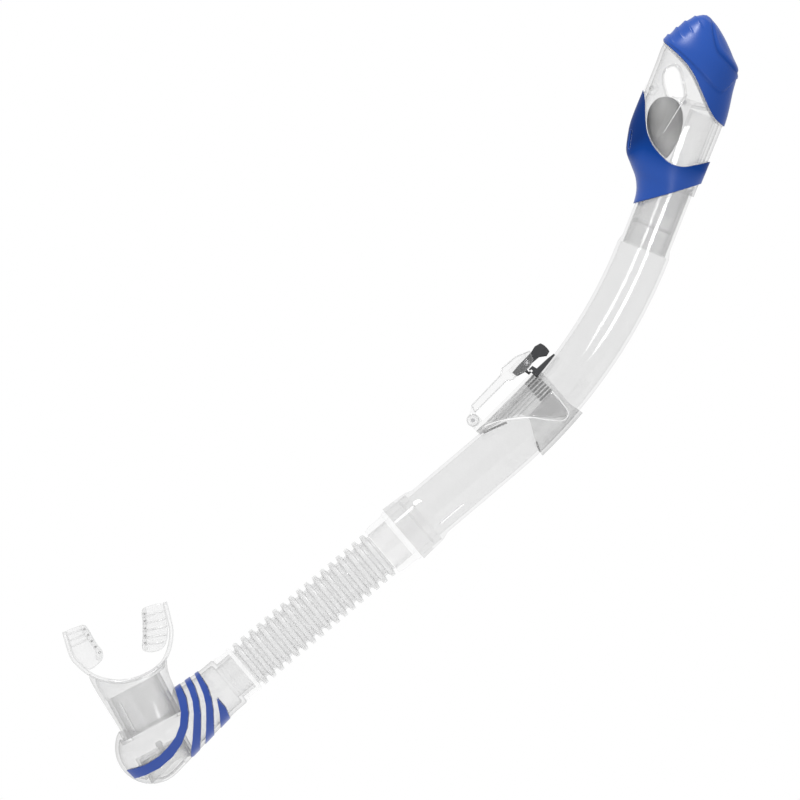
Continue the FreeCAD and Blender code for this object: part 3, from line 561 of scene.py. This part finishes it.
def crown_relief(p):
    """How far the crown's skin stands out: a raised plate, a long groove and a row of louvres."""
    raised = 0.75 * smooth_step(p.z - PLATE_EDGE(p.x), -0.5, 0.7)
    groove = 0.0
    if p.x > GROOVE_END:
        off = p.z - RIDGE(p.x)
        groove = -0.5 * hump(off, 0.0, 0.9) + 0.35 * hump(off, 2.2, 1.3)
    x, z = p.x - LOUVRE_FOOT[0], p.z - LOUVRE_FOOT[1]
    along = x * LOUVRE_WAY[0] + z * LOUVRE_WAY[1]
    side = x * -LOUVRE_WAY[1] + z * LOUVRE_WAY[0]
    within = smooth_step(along, 1.0, 4.0) * (1 - smooth_step(along, 24.0, 27.0))
    near = smooth_step(side, -4.5, -0.5) * within
    saw = (along / LOUVRE_PITCH) % 1.0
    return raised + groove + near * LOUVRE_HEIGHT * (saw ** 2 - 0.4)


def outwards(p):
    """The level direction from the middle of the dry top's oval to a point on its skin."""
    left, right = [along_table(TOP_STATIONS, column, p.z) for column in (1, 2)]
    out = Vector((p.x - (left + right) / 2, p.y, 0))
    return out / (out.length or 1.0)


def cover_side(low_edge, high_edge, inset, rows, relief):
    """One side of a cover, as loops from its low edge to its high edge, or to the dry top's tip."""
    lines = []
    for turn in round_turns(COVER_COUNT):
        high = meeting(high_edge, turn, inset) if high_edge else TOP_TIP
        lines.append((turn, meeting(low_edge, turn, inset), high))
    rings = []
    for row in range(rows + 1):
        share = row / rows
        ring = [top_point(low + (high - low) * share, turn, inset) for turn, low, high in lines]
        if relief:
            fade = smooth_step(share, 0.0, 0.03) * (1 - smooth_step(share, 0.93, 1.0))
            ring = [p + outwards(p) * relief(p) * fade for p in ring]
        rings.append(ring)
    return rings


def covered(bm, low_edge, high_edge, rows, relief=None):
    """A closed shell on the dry top's skin between two edges, or up over its tip."""
    outer = cover_side(low_edge, high_edge, 0.0, rows, relief)
    inner = cover_side(low_edge, high_edge, COVER_WALL, rows, None)
    if high_edge:
        ring_skin(bm, outer + inner[::-1])
    else:
        tip = [Vector((-14.6, 0, 124.6))] * COVER_COUNT
        inner_tip = [Vector((-14.6, 0, 123.4))] * COVER_COUNT
        skin(bm, [tip] + outer[::-1] + inner + [inner_tip], closed_ends=False)


def edge_bead(bm, edge, inset, radius, lift):
    """A fine round lip that follows one of the covers' edges round the case."""
    turns = round_turns(COVER_COUNT)
    cord(bm, [top_point(meeting(edge, t, inset) + lift, t, inset) for t in turns], radius, closed=True)


def crown_painted_shade(p):
    """How much painted shade a point of the crown takes: in the groove, at the plate's edge and to the
    right.
    """
    groove = 0.30 * hump(p.z - RIDGE(p.x), 0.0, 1.3) if p.x > GROOVE_END else 0.0
    step = 0.12 * hump(p.z - PLATE_EDGE(p.x), -0.6, 0.9)
    return min(1.0, groove + step + 0.22 * smooth_step(p.x, -12, 12))


def collar_painted_shade(p):
    """How much painted shade a point of the collar takes: its horn and left side face away from the light.
    """
    horn = 0.85 * smooth_step(p.z, 38, 56)
    side = 0.5 * (1 - smooth_step(p.x, -29, -19)) * smooth_step(p.z, 30, 40)
    return min(1.0, horn + side)


def store_painted_light(mesh, painted_light, matrix):
    """Stores a painted-light value for every point of a mesh, worked out in its local frame."""
    back = matrix.inverted()
    layer = mesh.attributes.new("painted_light", "FLOAT", "POINT")
    for vertex, value in zip(mesh.vertices, layer.data):
        value.value = painted_light(back @ vertex.co)


WINDOW = [(-18.4, 77.6), (-21, 81), (-23.4, 84.6), (-24.6, 88.4), (-23.6, 92), (-20.6, 94.2),
          (-17.2, 92.8), (-14.4, 89), (-11.6, 84.8), (-10, 81), (-11.6, 77.4), (-15, 76.6)]
PEG_BOSS = [(1.4, -11), (3.1, -11), (3.5, -10.6), (3.5, 10.6), (3.1, 11), (1.4, 11)]
CASE_SPIGOT = [(11.05, 0.6), (11.5, 0.6), (11.5, 35.5), (11.05, 35.5)]


def closed_skin(bm, rings, inwards=False):
    """A closed surface over rings, its normals outwards, or inwards for a cavity."""
    before = set(bm.faces)
    skin(bm, rings)
    faces = [face for face in bm.faces if face not in before]
    bmesh.ops.recalc_face_normals(bm, faces=faces)
    if inwards:
        bmesh.ops.reverse_faces(bm, faces=faces)


def case_half_depth(x, z):
    """The half depth of the case's outside at a point of its side view."""
    left, right, depth = [along_table(TOP_STATIONS, column, z) for column in (1, 2, 3)]
    across = (x - (left + right) / 2) / ((right - left) / 2 - CASE_OUTSIDE)
    return (depth - CASE_OUTSIDE) * math.sqrt(max(0.0, 1 - across * across))


def drain_slots():
    """Cutters for the three drain slots low on the narrow edge, through the collar and the case."""
    outline = box_outline(-36, 45.3, -24, 54.4)
    return [mesh_from("drain", lambda bm, y=y: plate(bm, outline, y - 1.2, y + 1.2), SHELLS)
            for y in (-6, 0, 6)]


def case_rings(foot, count, inset):
    """Level loops at an even rise of 1.4, from the foot upwards."""
    turns = round_turns(112)
    return [[top_point(foot + 1.4 * i, turn, inset) for turn in turns] for i in range(count)]


def make_case():
    """The clear case: a wall between two smooth skins, with its windows cut through."""
    bm = bmesh.new()
    closed_skin(bm, case_rings(34, 65, CASE_OUTSIDE))
    closed_skin(bm, case_rings(36, 62, CASE_INSIDE), inwards=True)
    bm.transform(SHELLS)
    mesh = bpy.data.meshes.new("dry_top_case")
    bm.to_mesh(mesh)
    bm.free()
    case = piece("dry_top_case", mesh, "tube", CASE, ["dry_top_housing"])
    window = curve_points(WINDOW, 5, closed=True)
    trim(case, mesh_from("window", lambda bm: plate(bm, window, -30, 30), SHELLS))
    for slot in drain_slots():
        trim(case, slot)
    bore = [circle(13.12, 30, 96), circle(13.12, 36.5, 96)]
    trim(case, mesh_from("foot", lambda bm: skin(bm, bore), TOP))
    for name, side in (("window_lip_front", -1), ("window_lip_back", 1)):
        rim = [Vector((p.x, side * case_half_depth(p.x, p.y), p.y)) for p in window]
        lip = mesh_from(name, lambda bm: cord(bm, rim, 0.55, closed=True), SHELLS)
        piece(name, lip, "tube", CASE, ())


def make_case_fittings():
    """The boss round the peg, the slanting guides beside the float, and the spigot under the case."""
    across = TOP @ Matrix.Translation((-27, 0, 79.6)) @ Matrix.Rotation(math.radians(90), 4, "X")
    boss = mesh_from("peg_boss", lambda bm: lathe(bm, PEG_BOSS, 40), across)
    piece("peg_boss", boss, "tube", RING, ())
    for name, y in (("guide_rail_front", -13.4), ("guide_rail_back", 13.4)):
        ends = [Vector((-8.6, y, 83)), Vector((-10.6, y, 72)), Vector((-12.8, y, 60))]
        rail = mesh_from(name, lambda bm: cord(bm, ends, 0.3), TOP)
        piece(name, rail, "tube", BRIGHT, ())
    spigot = mesh_from("case_spigot", lambda bm: lathe(bm, CASE_SPIGOT), TOP)
    piece("case_spigot", spigot, "tube", SPIGOT, (), smooth=False)


def make_dry_top():
    make_case()
    make_case_fittings()
    crown = mesh_from("crown", lambda bm: covered(bm, CROWN_EDGE, None, 72, crown_relief), SHELLS)
    # Painted shade: the crown darkens in its groove, at its plate's edge and to the right, the collar on
    # its horn and left side.
    store_painted_light(crown, crown_painted_shade, SHELLS)
    piece("crown_shell", crown, "tube", BLUE, ["crown_cap"])
    collar = mesh_from("collar", lambda bm: covered(bm, COLLAR_FOOT, COLLAR_TOP, 40), SHELLS)
    store_painted_light(collar, collar_painted_shade, SHELLS)
    shell = piece("collar_shell", collar, "tube", BLUE, ["dry_top_collar"])
    for slot in drain_slots():
        trim(shell, slot)
    for name, edge, lift in (("crown_lip", CROWN_EDGE, -0.45), ("collar_lip", COLLAR_TOP, 0.45)):
        lip = mesh_from(name, lambda bm: edge_bead(bm, edge, 0.85, 0.42, lift), SHELLS)
        piece(name, lip, "tube", LIP, ())


FLOAT_HEAD = Vector((0.0882, 0, 0.1570))
FLOAT_LEAN = math.radians(4)
FLOAT_OUTLINE = [(0.01, 0), (3.6, -0.8), (6.6, -3.2), (8.7, -7.2), (9.4, -11.6), (9.0, -16.6), (7.6, -22),
                 (5.4, -27.2), (3.1, -31), (1.2, -32.6), (0.01, -32.8)]


def make_float():
    """A moulded egg, paler towards its tip: a painted highlight."""
    loops = [circle(max(p.x, 0.01), p.y, 72) for p in curve_points(FLOAT_OUTLINE, 6)]
    place = tilted(FLOAT_HEAD, FLOAT_LEAN)
    mesh = mesh_from("float_egg", lambda bm: skin(bm, loops), place)
    # Painted highlight: paler and duller towards the float's tip.
    store_painted_light(mesh, lambda p: 0.75 * smooth_step(-p.z, 13, 28), place)
    piece("float_egg", mesh, "float_arm", FLOAT, ["float"])


# ---- strap clip --------------------------------------------------------------------------------

BAND_RADIUS = 16.4
# The clip base's side walls are this far from the middle, and reach this far towards the tube.
BASE_SIDE, BASE_END = 9.0, 11


def on_band(x, z, side, lift):
    """A point on the band's outside, or on the clip base's side wall, in the clip's frame."""
    middle = (CLIP @ Vector((x, 0, z)) - BEND_CENTRE).length / MM - BEND_RADIUS
    half = math.sqrt(max((BAND_RADIUS + lift) ** 2 - middle ** 2, 0.0))
    if x < BASE_END:
        half = max(half, BASE_SIDE + lift)
    return Vector((x, side * half, z))


PAD_SINK = 0.05


def band_pad(bm, low_row, high_row, side, height, steps):
    """A pad that follows the band, between two rows of (x, z) points, sunk a little into it."""
    grids = []
    for lift in (-PAD_SINK, height):
        grid = []
        for step in range(steps + 1):
            share = step / steps
            between = [(a[0] + (b[0] - a[0]) * share, a[1] + (b[1] - a[1]) * share)
                       for a, b in zip(low_row, high_row)]
            grid.append([on_band(x, z, side, lift) for x, z in between])
        grids.append(grid)
    lower, upper = grids
    skin(bm, [line_low + line_high[::-1] for line_low, line_high in zip(lower, upper)])


WING_LOW = [(18.1, 5.4), (19.6, 6.4), (21.6, 8.2), (25, 11.1), (28.3, 14.2), (31.4, 18), (31.6, 19.4)]
WING_HIGH = [(17.5, 21.9), (19, 21.9), (21.6, 21.8), (24.2, 21.6), (27, 21.4), (29.5, 21), (31.2, 20)]
BRIGHT_LINE = [(5.6, -15), (8.2, -9.2), (11.4, -4.1), (16.1, 1.8), (19.6, 5.6), (25.6, 10.1), (31.3, 14.9),
               (32.6, 17.8), (31.7, 20.6), (29.5, 21.5), (24, 22.3), (17.4, 22.6)]
HEEL_LINE = [(7.7, -17.6), (8.8, -14.4), (9.9, -11.6), (12.3, -5.4)]
WAIST_LINE = [(30.4, -1.4), (32.6, -2.6), (35.2, -3.6)]


GRIPS = (4.6, 6.5, 8.4, 10.3, 12.2, 14.1, 16)
FLUTES = ((4.6, -12), (6.4, -10), (8.2, -7), (10, -4), (11.8, -2), (13.8, 1))


def upright(x, width, low, high):
    """The low and high rows of a narrow rib that starts at x."""
    return [(x, low), (x + width, low)], [(x, high), (x + width, high)]


def make_clip_details():
    """What is moulded on the keeper's two sides: wings, rims, grip ribs and flutes."""
    pads = [("wing", (WING_LOW, WING_HIGH), WING, 0.55, 10)]
    # The grip ribs take the darker grey plastic, painted shade.
    for i, x in enumerate(GRIPS):
        pads.append(("grip_%d" % i, upright(x, 1.05, 15.6 - 0.1 * i, 23.2), RIB_SHADE, 0.8, 6))
    for i, (x, foot) in enumerate(FLUTES):
        pads.append(("flute_%d" % i, upright(x, 0.7, foot, 15.2), FLUTE, 0.5, 12))
    # The heel and waist cords in the dark grey silicone are painted shade.
    cords = (("rim", BRIGHT_LINE, 0.32, BRIGHT), ("heel", HEEL_LINE, 0.6, SHADE_SILICONE),
             ("waist_edge", WAIST_LINE, 0.45, SHADE_SILICONE))
    for word, side in (("front", -1), ("back", 1)):
        for name, (low_row, high_row), material, lift, steps in pads:
            mesh = mesh_from(name, lambda bm: band_pad(bm, low_row, high_row, side, lift, steps), CLIP)
            piece("%s_%s" % (name, word), mesh, "keeper", material, (),
                  smooth=(name == "wing"))
        for name, line, radius, material in cords:
            points = [on_band(p.x, p.y, side, 0.25) for p in curve_points(line, 6)]
            mesh = mesh_from(name, lambda bm: cord(bm, points, radius), CLIP)
            piece("%s_%s" % (name, word), mesh, "keeper", material, ())


GATE_OUTLINE = [(-3.1, -13), (-3.1, 10.2), (-1.2, 12.4), (-1.2, 17), (0.2, 20), (0.2, 24), (-1.2, 27.5),
                (-5.4, 29.4), (-8.4, 22), (-9.2, 13), (-7.2, 10), (-6.7, -12)]
GATE_SIDE = 7.0
HUB_X, HUB_Z, HUB_RADIUS, HUB_SIDE = -0.8, -16.9, 3, 5.1


def make_gate_edges():
    """Fine moulded lips round the gate's two sides, and round its hub."""
    for word, side in (("front", -1), ("back", 1)):
        outline = [Vector((x, side * GATE_SIDE, z)) for x, z in GATE_OUTLINE]
        points = []
        for a, b in zip(outline, outline[1:] + outline[:1]):
            points += [a + (b - a) * k / 6 for k in range(6)]
        mesh = mesh_from("gate_edge", lambda bm: cord(bm, points, 0.32, closed=True), CLIP)
        piece("gate_edge_%s" % word, mesh, "gate", EDGE, ())
        hub = [Vector((HUB_X + HUB_RADIUS * math.cos(t), side * HUB_SIDE, HUB_Z + HUB_RADIUS * math.sin(t)))
               for t in round_turns(36)]
        mesh = mesh_from("hub_edge", lambda bm: cord(bm, hub, 0.35, closed=True), CLIP)
        piece("hub_edge_%s" % word, mesh, "gate", EDGE, ())


# (name, x, radius of the wall it stands on, low, high, thickness) of the ribs along the barrel, painted
# highlights in bright milky plastic.
BARREL_HIGHLIGHT_RIBS = (("bell_highlight_rib", -7.3, 16.7, -64, -51, 0.8), ("barrel_highlight_rib", 8.4, 14.9, -46, -30, 0.35))
CUFF_LINER = [(11, -67.5), (11.4, -67.5), (11.4, -78.6), (11, -78.6)]


def make_barrel_highlight_ribs():
    """Short raised ribs on the barrel in bright milky plastic, painted highlights, and the liner in the
    hose's top cuff.
    """
    liner = mesh_from("cuff_liner", lambda bm: lathe(bm, CUFF_LINER), TUBE)
    piece("cuff_liner", liner, "tube", SPIGOT, (), smooth=False)
    for word, side in (("front", -1), ("back", 1)):
        for name, x, radius, low, high, thick in BARREL_HIGHLIGHT_RIBS:
            y = side * math.sqrt(radius * radius - x * x)
            points = [Vector((x, y, low + (high - low) * i / 8)) for i in range(9)]
            mesh = mesh_from(name, lambda bm: cord(bm, points, thick), TUBE)
            piece("%s_%s" % (name, word), mesh, "tube", BRIGHT, ())


# ---- hose --------------------------------------------------------------------------------------

HOSE_TOP, HOSE_END, RIBS, PITCH, FIRST_RIB = 79.0, 171.5, 17, 5.41, 81.8
CREST, ROOT, HOSE_WALL = 13.5, 10.8, 1.0


def hose_radius(depth):
    """The bellows' outside radius at a depth down the lower tube's axis: rounded square ribs."""
    phase = (depth - FIRST_RIB) / PITCH
    if phase < -0.5 or phase > RIBS - 0.5:
        return ROOT
    wave = math.tanh(4.2 * (math.cos(2 * math.pi * phase) + 0.1)) / math.tanh(4.2)
    return ROOT + (CREST - ROOT) * (0.5 + 0.5 * wave)


def make_hose():
    steps = RIBS * 20
    depths = [HOSE_TOP + (HOSE_END - HOSE_TOP) * i / steps for i in range(steps + 1)]
    outside = [(hose_radius(d), -d) for d in depths]
    inside = [(hose_radius(d) - HOSE_WALL, -d) for d in depths]
    mesh = mesh_from("bellows", lambda bm: lathe(bm, outside + inside[::-1]), TUBE)
    hose = piece("bellows", mesh, None, FROSTED)
    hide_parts("corrugated_hose")
    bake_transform(hose)


# ---- mouthpiece --------------------------------------------------------------------------------

SHIELD_LEFT = [(-18.4, 72.9), (-20.7, 60.9), (-19.9, 54.6), (-16.3, 46.3), (-11, 40.4), (-5, 36.4), (2, 34)]
SHIELD_RIGHT = [(9, 33.2), (15, 33.6), (21, 35.8), (26.6, 40.6), (31, 47.2), (33.3, 54.7), (35, 61.9)]
SHIELD_HALF, SHIELD_THICK = 13, 1.1


def make_shield(bm):
    """The curved lip shield: a band along Y, rounded at its ends, thinner at its rims."""
    path = curve_points(SHIELD_LEFT + SHIELD_RIGHT, 6)
    last = len(path) - 1
    steps = [-1 + 2 * j / 16 for j in range(17)]
    rings = []
    for i, p in enumerate(path):
        ahead = (path[min(i + 1, last)] - path[max(i - 1, 0)]).normalized()
        inward = Vector((-ahead.y, ahead.x))
        share = i / last
        end = min(share, 1 - share) * 14
        wide = SHIELD_HALF * (0.62 + 0.38 * math.sqrt(max(0.0, 1 - (1 - min(end, 1)) ** 2)))
        ring = []
        for side, row in ((-1, steps), (1, steps[::-1])):
            for t in row:
                off = side * SHIELD_THICK * (1 - 0.45 * abs(t) ** 4)
                ring.append(Vector((p.x + inward.x * off, wide * t, p.y + inward.y * off)))
        rings.append(ring)
    skin(bm, rings)


SHIELD_FOOT = [(-21, 60), (-16.8, 46), (-11.4, 39.8), (-5.2, 35.8), (2, 33.4), (9, 32.6), (15, 33),
               (21.2, 35.2), (26.8, 40), (34, 56)]
# (share of the height, left, right, half depth) of the soft cuff.
NECK = [
    (0.0, -16.7, 17.0, 17.2), (0.2, -16.9, 17.8, 17.4), (0.45, -17.6, 18.8, 17.4), (0.7, -18.3, 19.4, 16.6),
    (0.86, -18.2, 20.6, 14.8), (1.0, -17.2, 22.6, 12.4)]
NECK_FOOT, NECK_WALL = 10.2, 1.7
# Up to the spigot's end, the cuff's bore is held to the spigot's outside.
SPIGOT_END, SPIGOT_RADIUS = 31.4, 15.58


def neck_ring(share, wall):
    """A loop of the cuff's outside, or of its bore where wall is its thickness."""
    underside = edge_of(SHIELD_FOOT)
    left, right, depth = [along_table(NECK, column, share) for column in (1, 2, 3)]
    loop = []
    for t in round_turns(112):
        x = (left + right) / 2 + ((right - left) / 2 - wall) * math.cos(t)
        y = (depth - wall) * math.sin(t)
        z = NECK_FOOT + (underside(x) + 0.7 - NECK_FOOT) * share
        if wall and z < SPIGOT_END:
            fit = min(1.0, SPIGOT_RADIUS / max(math.hypot(x, y), 0.1))
            x, y = x * fit, y * fit
        loop.append(Vector((x, y, z)))
    return loop


def make_neck(bm):
    """The soft cuff over the spigot. Its top flares to meet the whole underside of the shield."""
    shares = [i / 36 for i in range(37)]
    outside = [neck_ring(share, 0.0) for share in shares]
    bore = [neck_ring(share, NECK_WALL) for share in shares[::-1]]
    ring_skin(bm, outside + bore)


# Side outlines of the bite tabs, and of the broader rims along the tabs' inner edges.
TAB_LEFT = [(-17.2, 72.6), (-12.5, 72.4), (-8, 71.4), (-6.7, 69.5), (-6.5, 64), (-6.2, 58.5), (-5.6, 54.5),
            (-7.6, 51), (-11.6, 49.6), (-16.2, 49.6), (-18.6, 54.8), (-19.4, 61), (-18.2, 68)]
TAB_RIGHT = [(22.4, 63.6), (25.8, 64.3), (33.2, 62), (32.4, 56.5), (30.4, 50.2), (27.2, 44.6), (23.2, 41.4),
             (18.4, 41.6), (14.6, 43.6), (13.4, 46.4), (16.8, 52), (20, 58.2)]
RIM_LEFT = [(-9.8, 71.8), (-7.6, 70.8), (-6.9, 66), (-6.8, 60), (-6, 54.6), (-8.4, 51.2), (-10.4, 52.6),
            (-8.8, 56), (-9.2, 62), (-9.8, 68)]
RIM_RIGHT = [(22.6, 63.4), (24.8, 63.9), (22.4, 58), (18.8, 51.6), (16.2, 46.6), (15.4, 44.2), (13.6, 46.2),
             (16.8, 52), (20, 58.2)]
NOTCHES = {
    "tab_rim_left": [(-8.4, 69.2), (-8.1, 65.6), (-7.9, 62), (-7.6, 58.4), (-7.1, 54.8)],
    "tab_rim_right": [(23, 61.6), (21.3, 58.2), (19.6, 54.8), (17.9, 51.4), (16.2, 48)]}
# The two ends of each tooth rib across the tabs.
TOOTH_RIBS = [((-17.2, 70.6), (-9.6, 69.8)), ((-17.8, 67.4), (-9.6, 66.8)), ((-18.4, 64.2), (-9.4, 63.8)),
              ((21.4, 60.2), (32.4, 58.2)), ((19.8, 57), (31.4, 54.2)), ((18, 53.8), (30, 50.4)),
              ((16.4, 50.6), (27.8, 46.8)), ((15.6, 47.4), (25, 43.8))]
SPIGOT_SLEEVE = [(13.2, 8.6), (13.5, 8.6), (13.5, 30.8), (13.2, 30.8)]


def bar(bm, a, b, width, low_y, high_y):
    """A straight rib between two (x, z) points."""
    a, b = Vector(a), Vector(b)
    side = Vector((-(b - a).y, (b - a).x)).normalized() * width / 2
    plate(bm, [a - side, b - side, b + side, a + side], low_y, high_y)


def oval_plug(bm):
    """The shape of the mouth's opening through the shield."""
    skin(bm, [[Vector((3 + 13 * math.cos(t), 8 * math.sin(t), z)) for t in round_turns(48)]
              for z in (28, 46)])


def make_bite_tabs():
    """The two tabs held between the teeth, their notched rims, and a dark grey cord in each notch, painted
    shade in the notch.
    """
    for name, outline, half in (("bite_tab_left", TAB_LEFT, 2.3), ("bite_tab_right", TAB_RIGHT, 2.3),
                                ("tab_rim_left", RIM_LEFT, 5.4), ("tab_rim_right", RIM_RIGHT, 5.4)):
        smooth = curve_points(outline, 5, closed=True)
        mesh = mesh_from(name, lambda bm: plate(bm, smooth, -half, half), MOUTH)
        tab = piece(name, mesh, "bite", SOFT, ())
        for x, z in NOTCHES.get(name, ()):
            notch = box_outline(x - 0.55, z - 0.6, x + 0.55, z + 0.6)
            trim(tab, mesh_from("notch", lambda bm: plate(bm, notch, -8, 8), MOUTH))
        bevel(tab, 0.5 if name in NOTCHES else 0.9)
    for i, (x, z) in enumerate(NOTCHES["tab_rim_left"] + NOTCHES["tab_rim_right"]):
        ends = [Vector((x, -5.7, z)), Vector((x, 5.7, z))]
        mesh = mesh_from("notch_shade", lambda bm: cord(bm, ends, 0.5), MOUTH)
        piece("dimple_%d" % i, mesh, "bite", SHADE_SILICONE, ())


def make_spigot_lines():
    """The seams and the sleeve of the elbow's spigot, inside the soft cuff."""
    for name, side in (("spigot_seam_front", -1), ("spigot_seam_back", 1)):
        points = [Vector((-10, side * 12.0, z)) for z in (10.4, 18, 26.4)]
        seam = mesh_from(name, lambda bm: cord(bm, points, 0.3), MOUTH)
        piece(name, seam, "elbow", BRIGHT, ())
    sleeve = mesh_from("spigot_sleeve", lambda bm: lathe(bm, SPIGOT_SLEEVE), MOUTH)
    piece("spigot_sleeve", sleeve, "elbow", SPIGOT, (), smooth=False)


def make_mouthpiece():
    shield = piece("lip_shield", mesh_from("lip_shield", make_shield, MOUTH), "bite", SOFT,
                   ["mouthpiece"])
    trim(shield, mesh_from("mouth_opening", oval_plug, MOUTH))
    piece("mouth_cuff", mesh_from("mouth_cuff", make_neck, MOUTH), "bite", SOFT, ())
    make_bite_tabs()
    make_spigot_lines()
    for i, (a, b) in enumerate(TOOTH_RIBS):
        mesh = mesh_from("tooth_rib", lambda bm: bar(bm, a, b, 1.0, -3.1, 3.1), MOUTH)
        rib = piece("tooth_rib_%d" % i, mesh, "bite", SOFT, ())
        bevel(rib, 0.4, segments=2)


# ---- purge cover -------------------------------------------------------------------------------

CHAMBER_WALL = 1.8
BULB_RADIUS, BULB_NECK = 18.9, 14.2
BULB_STATION, CONE_LENGTH = -236, 46
PURGE_X = -2.3


def bulb(bm, grow):
    """The elbow's outer form as in the CAD: a cone turned about the hose's axis, into a round end."""
    radius, start = BULB_RADIUS + grow, BULB_NECK + grow
    lift = math.asin((radius - start) / CONE_LENGTH)
    outline = [(0.01, -184), (start, -184), (start, BULB_STATION + CONE_LENGTH)]
    turns = [lift - (lift + math.pi / 2) * i / 40 for i in range(41)]
    outline += [(max(radius * math.cos(t), 0.01), BULB_STATION + radius * math.sin(t)) for t in turns]
    skin(bm, [circle(r, z, 128) for r, z in outline])


def purge_drum(radius, low, high):
    """A plain drum on the purge valve's axis, to cut with."""
    loops = [circle(radius, z, 96, PURGE_X) for z in (low, high)]
    return mesh_from("drum", lambda bm: skin(bm, loops), MOUTH)


def make_purge_cover():
    """The smooth cap that closes the elbow under the valve, with two long vents."""
    cover = piece("purge_cap", mesh_from("purge_cap", lambda bm: bulb(bm, 0.0), TUBE), "elbow", ELBOW,
                  ["purge_cover"])
    trim(cover, purge_drum(12.95, -40, -5.6), "INTERSECT")
    room = piece("room", mesh_from("room", lambda bm: bulb(bm, -CHAMBER_WALL), TUBE), None, ELBOW)
    trim(room, purge_drum(11.7, -45, -4), "INTERSECT")
    trim(cover, room.data.copy())
    bpy.data.objects.remove(room)
    vent = box_outline(-9.6, -50, 5.2, -12)
    for y in (-5.4, 5.4):
        trim(cover, mesh_from("vent", lambda bm: plate(bm, vent, y - 1, y + 1), MOUTH))


# ---- build -------------------------------------------------------------------------------------

light_scene()
make_dry_top()
make_float()
make_clip_details()
make_gate_edges()
make_barrel_highlight_ribs()
make_hose()
make_purge_cover()
make_mouthpiece()
